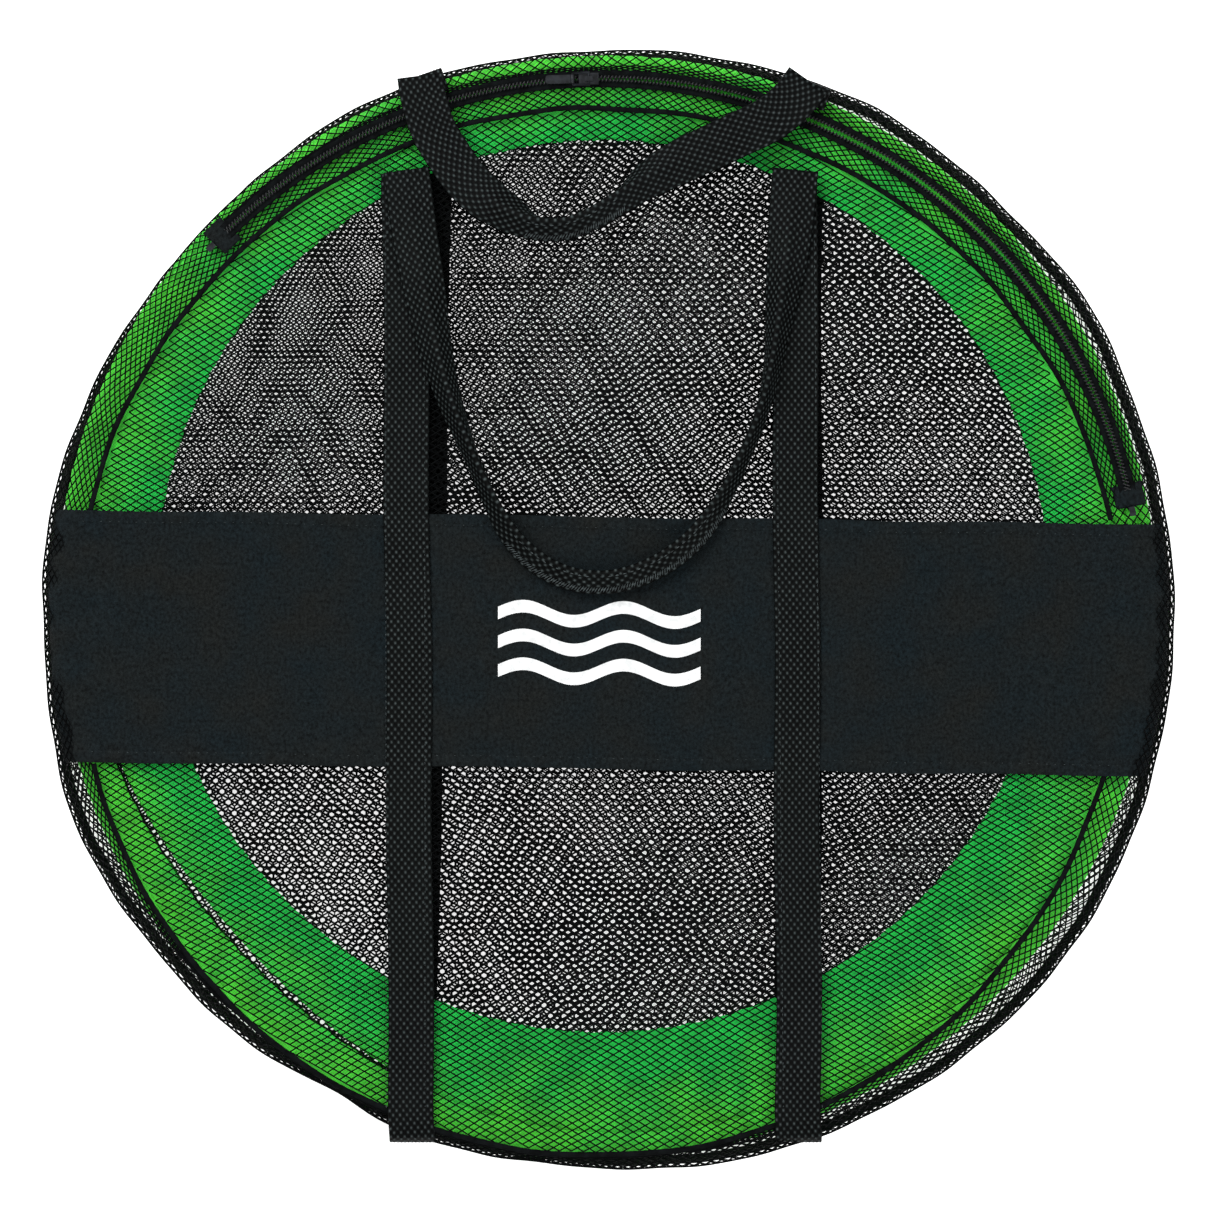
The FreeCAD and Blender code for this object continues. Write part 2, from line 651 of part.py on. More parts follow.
def pull_tab():
    """A flat tab whose rolled end hangs on the loop's far end."""
    far, half, thick = SLIDER_X - PULL_LOOP_LENGTH, TAB_WIDTH / 2, TAB_THICKNESS / 2
    bore = PULL_WIRE / 2 + PULL_PIN_CLEARANCE
    start = Vector(far, SLIDER_Y - half, PULL_Z)
    roll = Part.makeCylinder(bore + TAB_ROLL_WALL, TAB_WIDTH, start, Vector(0, 1, 0))
    hole = Part.makeCylinder(bore, TAB_WIDTH, start, Vector(0, 1, 0))
    flat = block(
        (far - TAB_LENGTH, SLIDER_Y - half, PULL_Z - thick),
        (far, SLIDER_Y + half, PULL_Z + thick),
    )
    corners = [e for e in flat.Edges if e.BoundBox.ZLength > thick and e.BoundBox.XMax < far]
    flat = flat.makeFillet(TAB_CORNER, corners)
    return at_slider(roll.fuse(flat).cut(hole))


# ---------------------------------------------------------------- trap


def hoop_level(number):
    return BOTTOM_HOOP_Z + HOOP_SPACING * number


def hoop_wire(height):
    return hoop_tube(WIRE_RADIUS, height)


def hoop_ferrule(height, angle):
    """The crimped tube that joins the ends of the spring wire."""
    bore = WIRE_RADIUS + FERRULE_CLEARANCE
    start = angle - FERRULE_LENGTH / 2
    tube = hoop_tube(bore + FERRULE_WALL - FERRULE_CLEARANCE, height, start, FERRULE_LENGTH)
    return tube.cut(hoop_tube(bore, height, start - CUT, FERRULE_LENGTH + 2 * CUT))


def hoop_sleeve(height):
    """The sleeve of tape sewn round the wire."""
    return hoop_tube(SLEEVE_RADIUS, height).cut(
        hoop_tube(SLEEVE_RADIUS - SLEEVE_WALL, height)
    )


def end_panel(low):
    return disc(PANEL_RADIUS, low, low + PANEL_THICKNESS)


def wall_net(lower_hoop):
    """The side net between two hoops, folded inwards to an edge half way up."""
    bottom = lower_hoop + WALL_START
    top = lower_hoop + HOOP_SPACING - WALL_START
    middle = (bottom + top) / 2
    t = WALL_NET_THICKNESS
    profile = [
        (WALL_OUTER, bottom),
        (WALL_FOLD_RADIUS, middle - t / 2),
        (WALL_FOLD_RADIUS, middle + t / 2),
        (WALL_OUTER, top),
        (WALL_OUTER, top - t),
        (WALL_FOLD_RADIUS + 2 * t, middle),
        (WALL_OUTER, bottom + t),
    ]
    points = [Vector(r, 0, z) for r, z in profile]
    face = Part.Face(Part.makePolygon(points + points[:1]))
    return face.revolve(Vector(0, 0, 0), UP, 360)


def throat_loft(side, outer_size, inner_size):
    """A straight-sided tube between two upright rectangles, its mouth and its neck."""
    z = hoop_level(1)
    wires = []
    for x, (wide, tall) in ((THROAT_OUTER, outer_size), (THROAT_INNER, inner_size)):
        corners = [(-1, -1), (1, -1), (1, 1), (-1, 1)]
        points = [
            Vector(side * x, THROAT_MIDDLE + u * wide / 2, z + v * tall / 2)
            for u, v in corners
        ]
        wires.append(Part.makePolygon(points + points[:1]))
    return Part.makeLoft(wires, True, True)


def entrance_throat(side):
    """A flat net throat that leads inwards from the middle hoop."""
    walls = 2 * THROAT_NET
    mouth = (THROAT_MOUTH_WIDTH, THROAT_MOUTH_HEIGHT)
    neck = (THROAT_NECK_WIDTH, THROAT_NECK_HEIGHT)
    hole_mouth = (THROAT_MOUTH_WIDTH - walls, THROAT_FLAT_GAP)
    hole_neck = (THROAT_NECK_WIDTH - walls, THROAT_NECK_HEIGHT - walls)
    return throat_loft(side, mouth, neck).cut(throat_loft(side, hole_mouth, hole_neck))


BOTTOM_PANEL_Z = BOTTOM_HOOP_Z - SLEEVE_RADIUS + PANEL_TUCK
TOP_PANEL_Z = TOP_HOOP_Z + SLEEVE_RADIUS - PANEL_TUCK - PANEL_THICKNESS
POUCH_Z = BOTTOM_PANEL_Z + PANEL_THICKNESS + POUCH_GAP


def bait_pouch():
    """A flat net pouch for bait, on the bottom panel."""
    x, y = POUCH_MIDDLE
    pouch = block(
        (x - POUCH_LENGTH / 2, y - POUCH_WIDTH / 2, POUCH_Z),
        (x + POUCH_LENGTH / 2, y + POUCH_WIDTH / 2, POUCH_Z + POUCH_HEIGHT),
    )
    upright = [e for e in pouch.Edges if e.BoundBox.ZLength > POUCH_HEIGHT / 2]
    return pouch.makeFillet(POUCH_CORNER, upright)


def bait_clip():
    """A small plastic snap clip that shuts the pouch."""
    x, y = POUCH_MIDDLE
    low = POUCH_Z + POUCH_HEIGHT + POUCH_GAP
    outside = block(
        (x - CLIP_LENGTH / 2, y - CLIP_WIDTH / 2, low),
        (x + CLIP_LENGTH / 2, y + CLIP_WIDTH / 2, low + CLIP_HEIGHT),
    )
    long, wide = CLIP_LENGTH / 2 - CLIP_WALL, CLIP_WIDTH / 2 - CLIP_WALL
    inside = block(
        (x - long, y - wide, low - CUT),
        (x + long, y + wide, low + CLIP_HEIGHT + CUT),
    )
    return outside.cut(inside)


def model():
    """Every node of the object, by name."""
    nodes = {
        "back_net_panel": back_net_panel(),
        "back_rim_binding": back_rim_binding(),
        "side_wall_lower": side_wall_lower(),
        "side_wall_mouth": side_wall_mouth(),
        "lip_lower": lip_lower(),
        "lip_mouth_rim": lip_mouth_rim(),
        "lip_mouth_front": lip_mouth_front(),
        "front_net_panel": front_net_panel(),
        "front_piping": front_piping(),
        "front_band": front_band(),
        "band_hem_top": band_hem(1),
        "band_hem_bottom": band_hem(-1),
        "band_emblem": band_emblem(),
        "strap_tacks": strap_tacks(),
        "zip_tape_rim": zip_tape(TAPE_OUTER),
        "zip_tape_front": zip_tape(TAPE_INNER - TAPE_WIDTH),
        "zip_coil_rim": zip_coil(ZIP_RADIUS + COIL_SLOT / 2),
        "zip_coil_front": zip_coil(ZIP_RADIUS - COIL_REACH),
        "zip_stops": zip_stops(),
        "zip_end_tabs": zip_end_tabs(),
        "zip_slider_body": slider_body(),
        "zip_slider_bridge": slider_bridge(),
        "zip_pull_loop": pull_loop(),
        "zip_pull_tab": pull_tab(),
    }
    for name in FRONT_STRAP_ENDS:
        nodes["strap_front_" + name] = strap_front(name)
    for name in BACK_STRAP_ENDS:
        nodes["strap_back_" + name] = strap_back(name)
    handles = {
        "front": (FRONT_HANDLE_ROUTE, FRONT_GRIP_SPAN, FRONT_AXIS_Z),
        "back": (BACK_HANDLE_ROUTE, BACK_GRIP_SPAN, BACK_AXIS_Z),
    }
    for name, handle in handles.items():
        nodes[name + "_handle_webbing"] = handle_webbing(*handle)
        nodes[name + "_handle_grip"] = handle_grip(*handle)
    for number, (name, angle) in enumerate(FERRULE_AT.items()):
        height = hoop_level(number)
        nodes[name + "_hoop"] = hoop_wire(height)
        nodes[name + "_hoop_ferrule"] = hoop_ferrule(height, angle)
        nodes[name + "_hoop_sleeve"] = hoop_sleeve(height)
    nodes["bottom_mesh_panel"] = end_panel(BOTTOM_PANEL_Z)
    nodes["top_mesh_panel"] = end_panel(TOP_PANEL_Z)
    nodes["wall_net_lower"] = wall_net(hoop_level(0))
    nodes["wall_net_upper"] = wall_net(hoop_level(1))
    nodes["entrance_left"] = entrance_throat(-1)
    nodes["entrance_right"] = entrance_throat(1)
    nodes["bait_pouch"] = bait_pouch()
    nodes["bait_clip"] = bait_clip()
    return nodes


os.makedirs("parts", exist_ok=True)
for node, shape in model().items():
    shape.exportStep("parts/" + node + ".step")
    box = shape.BoundBox
    print(
        f"{node:22s} solids {len(shape.Solids)} valid {shape.isValid()}"
        f" x {box.XMin:.1f} {box.XMax:.1f} y {box.YMin:.1f} {box.YMax:.1f}"
        f" z {box.ZMin:.2f} {box.ZMax:.2f}"
    )
print(f"front handle axis y {FRONT_AXIS_Y:.2f} z {FRONT_AXIS_Z:.2f}")
print(f"back handle axis y {BACK_AXIS_Y:.2f} z {BACK_AXIS_Z:.2f}")
print(f"zip starts at {ZIP_START:.3f} degrees, hoop spacing {HOOP_SPACING:.3f}")
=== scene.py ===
"""A folding crab trap packed flat in its zipped net carry bag: the visible model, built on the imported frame."""
import math

import bpy
import numpy as np
from bpy.props import FloatProperty, FloatVectorProperty, PointerProperty
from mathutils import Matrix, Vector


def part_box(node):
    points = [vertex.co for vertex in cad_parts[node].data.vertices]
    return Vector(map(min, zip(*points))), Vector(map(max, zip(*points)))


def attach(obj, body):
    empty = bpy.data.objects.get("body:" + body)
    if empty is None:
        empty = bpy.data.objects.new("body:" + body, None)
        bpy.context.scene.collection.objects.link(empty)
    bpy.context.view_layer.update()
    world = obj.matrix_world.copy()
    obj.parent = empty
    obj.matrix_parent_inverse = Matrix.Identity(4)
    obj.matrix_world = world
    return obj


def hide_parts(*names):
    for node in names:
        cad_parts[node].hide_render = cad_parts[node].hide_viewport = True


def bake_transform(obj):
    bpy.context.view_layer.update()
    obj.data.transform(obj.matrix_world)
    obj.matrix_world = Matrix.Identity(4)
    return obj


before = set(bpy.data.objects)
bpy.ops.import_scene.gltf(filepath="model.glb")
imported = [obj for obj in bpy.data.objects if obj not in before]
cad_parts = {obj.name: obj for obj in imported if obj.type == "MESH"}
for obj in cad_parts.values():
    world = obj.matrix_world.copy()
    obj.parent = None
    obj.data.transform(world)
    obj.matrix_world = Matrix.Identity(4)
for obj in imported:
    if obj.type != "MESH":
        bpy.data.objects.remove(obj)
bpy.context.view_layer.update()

bl_info = {
    "name": "Folding Crab Trap",
    "version": (1, 0, 0),
    "blender": (4, 5, 0),
    "location": "View3D > Sidebar > Crab Trap",
    "description": "Builds a folding crab trap in its net carry bag on the packed CAD frame",
    "category": "Object",
}

TURN = 2 * math.pi

# Where the bag's parts lie, read from the frame (metres).
NET_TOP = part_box("front_net_panel")[1].z
NET_LEVEL = NET_TOP - 0.0004  # middle of the front net's threads
BAND_LOW, BAND_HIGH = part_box("front_band")
BAND_MIDDLE = (BAND_LOW.y + BAND_HIGH.y) / 2
STRAP_LOW, STRAP_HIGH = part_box("strap_front_left")
BACK_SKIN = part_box("back_net_panel")[0].z
SLEEVE_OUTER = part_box("top_hoop_sleeve")[1].x

# Circles of the bag and the trap: centre x, centre y, radius.
FRONT_SEAM = (-0.004, -0.014, 0.291)
ZIP_CIRCLE = (-0.002, -0.007, 0.3002)
OUTLINE = (0.0018, -0.0030, 0.3140)
MESH_EDGE = (-0.0022, 0.0113, 0.248)
ZIP_FROM, ZIP_SLIDER, ZIP_TO = (math.radians(a) for a in (12.0, 91.5, 136.0))
TAPE_WIDTH = 0.0036  # from the zip's line to the net that is sewn to its tape
HOOP_MIDDLE = 0.3018  # radius of the sleeves' middle line
BAND_SLOPE = math.tan(math.radians(-0.75))
STRAP_MIDDLES = (-0.110, 0.106)  # where the front straps cross the band
UPWARDS = (0, 0, 1)
STRAP_STEP = 0.006  # from point to point along a strap
CLOTH_WALL = 0.0003

# Lumps of the soft rim: direction in degrees, how far it stands out, how wide it is in degrees.
RIM_LUMPS = (
    (32, 0.0030, 6), (62, 0.0028, 9), (95, -0.0022, 10), (137, -0.0042, 14), (172, 0.0022, 9),
    (202, 0.0058, 12), (240, -0.0058, 7), (264, -0.0052, 16), (322, 0.0036, 20),
)
# The slit where the trap's green seam is drawn in: its middle direction, half its length, its width.
CRESCENT = (math.radians(220), math.radians(30), 0.0052)


def linear(code):
    """The linear colour of an sRGB hex code: each channel undone by the sRGB curve."""
    parts = [int(code[k:k + 2], 16) / 255 for k in (1, 3, 5)]
    return tuple(p / 12.92 if p <= 0.04045 else ((p + 0.055) / 1.055) ** 2.4 for p in parts)


def length_prop(name, description, default):
    """A length in metres that the user can change."""
    return FloatProperty(name=name, description=description, default=default, unit="LENGTH", precision=4)


def colour_prop(name, description, code):
    """A colour that the user can change, given as an sRGB hex code."""
    return FloatVectorProperty(
        name=name, description=description, default=linear(code), subtype="COLOR", min=0.0, max=1.0)


class BagSizes(bpy.types.PropertyGroup):
    """Sizes of the carry bag."""
    cell_width: length_prop("Net cell width", "One diamond of the bag net, side to side", 0.0068)
    cell_height: length_prop("Net cell height", "One diamond of the bag net, top to bottom", 0.0040)
    thread: length_prop("Net thread", "Width of one thread of the bag net", 0.00080)
    strap_width: length_prop("Strap width", "Width of the woven webbing", 0.0254)
    strap_thickness: length_prop("Strap thickness", "Thickness of the woven webbing", 0.0016)
    piping: length_prop("Piping", "Thickness of the corded edge round the front panel", 0.0030)
    tooth_pitch: length_prop("Zip tooth pitch", "Distance from tooth to tooth of the coil zip", 0.0021)


class TrapSizes(bpy.types.PropertyGroup):
    """Sizes of the folded trap."""
    hole_pitch: length_prop("Mesh hole pitch", "Distance between the holes of the end mesh", 0.0036)
    hole_width: length_prop("Mesh hole width", "Width of one hole of the end mesh", 0.00245)
    hoop_radius: length_prop("Hoop radius", "Radius of the spring hoops", 0.301)
    sleeve_radius: length_prop("Sleeve radius", "Thickness of the sleeve round a hoop", 0.0040)


class TrapColours(bpy.types.PropertyGroup):
    """Colours of the cloth, net, webbing and metal."""
    net: colour_prop("Bag net", "Black polyester thread", "#07090a")
    mesh: colour_prop("End mesh", "Black warp-knitted mesh", "#090b0c")
    cloth: colour_prop("Band cloth", "Black woven band", "#101516")
    webbing: colour_prop("Webbing", "Black polypropylene webbing", "#040505")
    # Painted sheen: black thread drawn grey, its slight shine put into its colour.
    thread_with_painted_shine: colour_prop("Sewing thread", "Black polyester thread with a slight shine", "#2f3536")
    # Painted highlight: the light grey mixed into each raised float's crest for the speck of light it catches.
    float_glint: colour_prop("Webbing fleck", "Light that each raised thread catches", "#566060")
    green: colour_prop("Green, inner", "Emerald green cloth near the mesh", "#1bd04f")
    # Painted light: the outer green is the cloth's green made yellower and lighter where it bulges by the hoop and
    # faces the light.
    lit_green: colour_prop("Green, outer", "Yellower green cloth near the hoop", "#52e43d")
    print_ink: colour_prop("Print", "White screen print", "#f4f6f6")
    metal: colour_prop("Zip metal", "Black lacquered die casting", "#1b1d20")


# ---------------------------------------------------------------- mesh work

def make(name, points, faces, material, uv=None, smooth=True):
    """A mesh object at the origin: points as an array, faces as arrays of corner numbers. Unused points are
    dropped."""
    used, renumbered = np.unique(np.concatenate([block.ravel() for block in faces]), return_inverse=True)
    sizes = [block.size for block in faces]
    blocks = [part.reshape(block.shape) for part, block in
              zip(np.split(renumbered.ravel(), np.cumsum(sizes)[:-1]), faces)]
    mesh = bpy.data.meshes.new(name)
    mesh.from_pydata(points.reshape(-1, 3)[used].tolist(), [], [f for block in blocks for f in block.tolist()])
    if uv is not None:
        places = np.zeros((len(mesh.loops), 2), np.float32)
        places[:len(uv)] = uv
        mesh.uv_layers.new(name="Cloth").data.foreach_set("uv", places.ravel())
    mesh.polygons.foreach_set("use_smooth", np.full(len(mesh.polygons), smooth))
    mesh.materials.append(material)
    piece = bpy.data.objects.new(name, mesh)
    bpy.context.collection.objects.link(piece)
    return piece


def grid_faces(shape, close_u=False, close_v=False):
    """Quads between the neighbours of a (u, v) grid, joined round where it closes, with each corner's (u, v)
    place."""
    nu, nv = shape[:2]
    u, v = table(np.arange(nu if close_u else nu - 1), np.arange(nv if close_v else nv - 1))
    corners = [(u, v), (u + 1, v), (u + 1, v + 1), (u, v + 1)]
    quads = np.stack([(a % nu) * nv + b % nv for a, b in corners], -1).reshape(-1, 4)
    places = np.stack([np.stack(c, -1) for c in corners], -2).reshape(-1, 2)
    return quads, places


def surface(name, points, material, steps, close_u=False, close_v=False, flip=False):
    """A grid of points as a smooth skin; steps are the distances between its rows and its columns, for the UV
    map."""
    quads, places = grid_faces(points.shape, close_u, close_v)
    if flip:
        quads, places = quads[:, ::-1], places.reshape(-1, 4, 2)[:, ::-1].reshape(-1, 2)
    return make(name, points, [quads], material, places * np.array(steps))


def thicken(piece, thickness, offset=0.0):
    """Gives an open skin its wall."""
    wall = piece.modifiers.new("Wall", "SOLIDIFY")
    wall.thickness, wall.offset = thickness, offset
    return piece


def table(rows, columns):
    """The row's and the column's value at each place of a grid."""
    return np.meshgrid(rows, columns, indexing="ij")


def directions(count):
    """Evenly spaced directions of a whole turn."""
    return np.linspace(0, TURN, count, endpoint=False)


def power(value, exponent):
    """A power that keeps its sign, which squares the corners of a circle's cosine and sine."""
    return np.sign(value) * np.abs(value) ** exponent


def polar(angle, r, z):
    """Points in each direction, r away from the upright axis, at height z."""
    return np.stack(np.broadcast_arrays(r * np.cos(angle), r * np.sin(angle), z), -1)


def middle_and_half(node):
    """The middle of a CAD node's box and half of the box's size, each as (x, y, z)."""
    low, high = (np.array(corner, float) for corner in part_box(node))
    return (low + high) / 2, (high - low) / 2


def seat(piece, body, slot, *nodes):
    """Puts a piece on its body and hides the CAD nodes that it stands for. slot is not used."""
    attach(piece, body)
    if nodes:
        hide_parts(*nodes)
    return piece


def unit(vectors):
    """Vectors made one unit long."""
    return vectors / np.maximum(np.linalg.norm(vectors, axis=-1, keepdims=True), 1e-12)


def swept(name, path, up, profile, material, closed=False):
    """A closed section carried along a path: each point is the path's, plus its across and up offsets along
    (tangent x up) and up. profile is (n, 2), or (m, n, 2) with its own section for each point of the path."""
    tangent = np.roll(path, -1, 0) - np.roll(path, 1, 0) if closed else np.gradient(path, axis=0)
    tangent = unit(tangent)
    across = unit(np.cross(tangent, up))
    rise = np.cross(across, tangent)
    section = np.broadcast_to(profile, (len(path),) + np.shape(profile)[-2:])
    points = path[:, None] + section[..., :1] * across[:, None] + section[..., 1:] * rise[:, None]
    quads, places = grid_faces(points.shape, closed, True)
    count = points.shape[1]
    run = np.linalg.norm(np.diff(path, axis=0), axis=1).mean()
    around = np.linalg.norm(np.diff(section[0], axis=0), axis=1).mean()
    faces = [quads]
    if not closed:
        faces += [np.arange(count)[None], (len(points) * count - 1 - np.arange(count))[None]]
    return make(name, points, faces, material, places * np.array((run, around)))


def even(points, step):
    """A smooth line through points (Catmull-Rom cubics), resampled at an even step."""
    p = np.asarray(points, float)
    p = np.vstack([2 * p[0] - p[1], p, 2 * p[-1] - p[-2]])
    t = np.linspace(0, 1, 24, endpoint=False)[None, :, None]
    a, b, c, d = (p[k:len(p) - 3 + k][:, None] for k in range(4))
    square, cube = 2 * a - 5 * b + 4 * c - d, 3 * b - a - 3 * c + d
    line = 0.5 * (2 * b + (c - a) * t + square * t ** 2 + cube * t ** 3)
    line = np.vstack([line.reshape(-1, p.shape[1]), p[-2]])
    run = np.concatenate([[0], np.cumsum(np.linalg.norm(np.diff(line, axis=0), axis=1))])
    marks = np.linspace(0, run[-1], max(3, int(run[-1] / step) + 1))
    return np.stack([np.interp(marks, run, line[:, k]) for k in range(p.shape[1])], -1)


def ripple(x, y, seed, length, waves=7):
    """Smooth unevenness of about -1 to 1: sine waves of nearly one length in seeded directions, added up."""
    total = 0.0
    drawn = np.random.default_rng(seed).uniform((0, 0, 0.7), (TURN, TURN, 1.5), (waves, 3))
    for turn, phase, stretch in drawn:
        total = total + np.sin(TURN * (x * np.cos(turn) + y * np.sin(turn)) / (length * stretch) + phase)
    return total / math.sqrt(waves * 1.4)


def reach(circle, angle):
    """How far an off-centre circle lies from the origin along each direction: the ray's larger root."""
    x, y, radius = circle
    along = x * np.cos(angle) + y * np.sin(angle)
    return along + np.sqrt(along ** 2 - x ** 2 - y ** 2 + radius ** 2)


def rim_reach(angle):
    """The soft outline: an off-centre circle with bell-shaped lumps and a slight scallop, outside the hoops."""
    lumps = sum(
        size * np.exp(-(((np.degrees(angle) - middle + 180) % 360 - 180) / width) ** 2)
        for middle, size, width in RIM_LUMPS)
    scallop = 0.0003 * np.sin(31 * angle) + 0.0002 * np.sin(53 * angle + 1)
    return np.maximum(reach(OUTLINE, angle) + lumps + scallop, SLEEVE_OUTER + 0.0022)


def thread_net(points, normals, keep, width, height):
    """A net of three-sided threads over a grid: every second place is a knot, and two families of threads run
    through it along (+1, +1) and (+1, -1). A thread's section is a triangle round the knot, square to the mean of
    the runs before and after. Loose thread ends are capped."""
    ni, nj = keep.shape
    i, j = table(np.arange(ni), np.arange(nj))
    keep = keep & ((i + j) % 2 == 0)
    number = np.arange(ni * nj).reshape(ni, nj)
    place, normal = points.reshape(-1, 3), unit(normals.reshape(-1, 3))
    foot, top = -0.4 * height, 0.6 * height
    corners = np.array([(-0.5 * width, foot), (0.5 * width, foot), (0.0, top)])
    all_points, quads, caps = [], [], []
    for family, step in enumerate((1, -1)):
        here = (slice(0, ni - 1), slice(0, nj - 1) if step > 0 else slice(1, nj))
        there = (slice(1, ni), slice(1, nj) if step > 0 else slice(0, nj - 1))
        joined = keep[here] & keep[there]
        a, b = number[here][joined], number[there][joined]
        along = np.zeros_like(place)
        run = place[b] - place[a]
        np.add.at(along, a, run)
        np.add.at(along, b, run)
        side = unit(np.cross(normal, along))
        ring = place[:, None] + corners[:, :1] * side[:, None] + corners[:, 1:] * normal[:, None]
        base = family * 3 * ni * nj
        all_points.append(ring.reshape(-1, 3))
        for k, m in ((0, 1), (1, 2), (2, 0)):
            quads.append(base + np.stack([3 * a + k, 3 * a + m, 3 * b + m, 3 * b + k], -1))
        first, last = np.setdiff1d(a, b), np.setdiff1d(b, a)
        caps.append(base + 3 * first[:, None] + np.array([2, 1, 0]))
        caps.append(base + 3 * last[:, None] + np.array([0, 1, 2]))
    return np.concatenate(all_points), [np.concatenate(quads), np.concatenate(caps)]


def holed_mesh(pitch, hole, stretch, keep, lift):
    """A knitted mesh with round-looking holes: six-sided holes on a triangular lattice, joined by strips between
    neighbouring holes and triangles where three meet. The lattice is drawn with slow unevenness and stretched.
    keep(x, y) picks the holes, lift(x, y) gives the height."""
    rows = np.arange(-int(0.31 / pitch * 1.3), int(0.31 / pitch * 1.3))
    q, r = table(rows, rows)
    x, y = pitch * (q + r / 2), pitch * math.sqrt(3) / 2 * r
    inside = keep(x, y)
    angle = np.radians(30 + 60 * np.arange(6))
    drift_x, drift_y = (0.13 * pitch * ripple(x, y, seed, 0.05) for seed in (31, 32))
    size = hole / math.sqrt(3) * (1 + 0.05 * ripple(x, y, 33, 0.02))
    px = stretch * ((x + drift_x)[..., None] + size[..., None] * np.cos(angle))
    py = stretch * ((y + drift_y)[..., None] + size[..., None] * np.sin(angle))
    points = np.stack([px, py, lift(px, py)], -1)
    base = 6 * np.arange(q.size).reshape(q.shape)
    here, east = (slice(1, -1), slice(0, -1)), (slice(2, None), slice(0, -1))
    north_east, north_west = (slice(1, -1), slice(1, None)), (slice(0, -2), slice(1, None))
    quads, triangles = [], []
    for other, corners in ((east, (5, 3, 2, 0)), (north_east, (0, 4, 3, 1)), (north_west, (1, 5, 4, 2))):
        both = inside[here] & inside[other]
        a, b = base[here][both], base[other][both]
        quads.append(np.stack([a + corners[0], b + corners[1], b + corners[2], a + corners[3]], -1))
    for second, third, corners in ((east, north_east, (0, 2, 4)), (north_east, north_west, (1, 3, 5))):
        both = inside[here] & inside[second] & inside[third]
        a, b, c = base[here][both], base[second][both], base[third][both]
        triangles.append(np.stack([a + corners[0], b + corners[1], c + corners[2]], -1))
    return points, [np.concatenate(quads), np.concatenate(triangles)]


def stitches(runs, up, width, spacing, share=0.7):
    """Sewing stitches: short three-sided prisms, pointed at both ends, along straight runs of (start, end)."""
    starts, ends = [], []
    for start, end in runs:
        start, end = np.asarray(start, float), np.asarray(end, float)
        count = max(1, int(np.linalg.norm(end - start) / spacing))
        t = np.arange(count)[:, None] / count
        starts.append(start + (end - start) * t)
        ends.append(start + (end - start) * (t + share / count))
    a, b = np.concatenate(starts), np.concatenate(ends)
    along = unit(b - a)
    rise = np.broadcast_to(np.asarray(up, float), a.shape)
    side = unit(np.cross(rise, along))
    section = ((-width / 2, 0), (width / 2, 0), (0, width * 0.6))
    middle = [(a + b) / 2 + side * x + rise * z for x, z in section]
    points = np.stack([a, b, *middle], 1)
    base = 5 * np.arange(len(a))[:, None]
    tips = np.array([(0, 3, 2), (0, 4, 3), (0, 2, 4), (1, 2, 3), (1, 3, 4), (1, 4, 2)])
    return points, [(base[:, :, None] + tips[None]).reshape(-1, 3)]


# ---------------------------------------------------------------- materials

def add(tree, kind, inputs=None, **settings):
    """Adds one shader node: settings are its own values, inputs its sockets' values or the sockets that feed
    them."""
    made = tree.nodes.new("ShaderNode" + kind)
    for key, value in settings.items():
        setattr(made, key, value)
    for key, value in (inputs or {}).items():
        if isinstance(value, bpy.types.NodeSocket):
            tree.links.new(value, made.inputs[key])
        else:
            made.inputs[key].default_value = value
    return made


def finished(name, build, **shader):
    """A material whose shader sockets are given, and whose linked sockets build(tree) returns."""
    old = bpy.data.materials.get(name)
    if old:
        return old
    made = bpy.data.materials.new(name)
    made.use_nodes = True
    tree = made.node_tree
    tree.nodes.clear()
    sockets = {key.replace("_", " "): value for key, value in shader.items()}
    sockets.update(build(tree))
    principled = add(tree, "BsdfPrincipled", sockets)
    add(tree, "OutputMaterial", {"Surface": principled.outputs[0]})
    return made


def rgba(colour, gain=1.0):
    """A colour with its alpha, brighter or darker by gain."""
    return tuple(min(1.0, c * gain) for c in colour) + (1.0,)


def scaled(tree, period, uv=False, turn=0.0):
    """Texture places in which one unit is one period of the pattern, in metres."""
    place = add(tree, "UVMap", uv_map="Cloth").outputs[0] if uv else add(
        tree, "TexCoord").outputs["Object"]
    size = period if isinstance(period, tuple) else (period,) * 3
    return add(tree, "Mapping", {
        "Vector": place, "Scale": tuple(1 / s for s in size), "Rotation": (0, 0, turn)}).outputs[0]


def woven_height(tree, warp, weft, uv=False, turn=0.0):
    """Plain weave: sin(2 pi u) x sin(2 pi v) over the warp and weft spacing, from 0 to 1."""
    place = add(tree, "SeparateXYZ", {0: scaled(tree, (warp, weft, warp), uv, turn)})
    waves = []
    for axis in (0, 1):
        angle = add(tree, "Math", {0: place.outputs[axis], 1: TURN}, operation="MULTIPLY")
        waves.append(add(tree, "Math", {0: angle.outputs[0]}, operation="SINE").outputs[0])
    product = add(tree, "Math", {0: waves[0], 1: waves[1]}, operation="MULTIPLY").outputs[0]
    return add(tree, "Math", {0: product, 1: 0.5, 2: 0.5}, operation="MULTIPLY_ADD").outputs[0]


def patches(tree, dark, light, period, low=0.35, high=0.65, detail=3.0, uv=False):
    """Two colours mixed by soft noise whose patches are one period wide."""
    noise = add(tree, "TexNoise", {"Vector": scaled(tree, period, uv), "Scale": 1.0, "Detail": detail})
    share = add(tree, "MapRange", {"Value": noise.outputs[0], "From Min": low, "From Max": high})
    return add(tree, "Mix", {0: share.outputs[0], 6: dark, 7: light}, data_type="RGBA").outputs[2]


def bumped(tree, height, depth):
    """A normal raised by a height from 0 to 1, depth metres high."""
    return add(tree, "Bump", {"Height": height, "Distance": depth, "Strength": 1.0}).outputs[0]


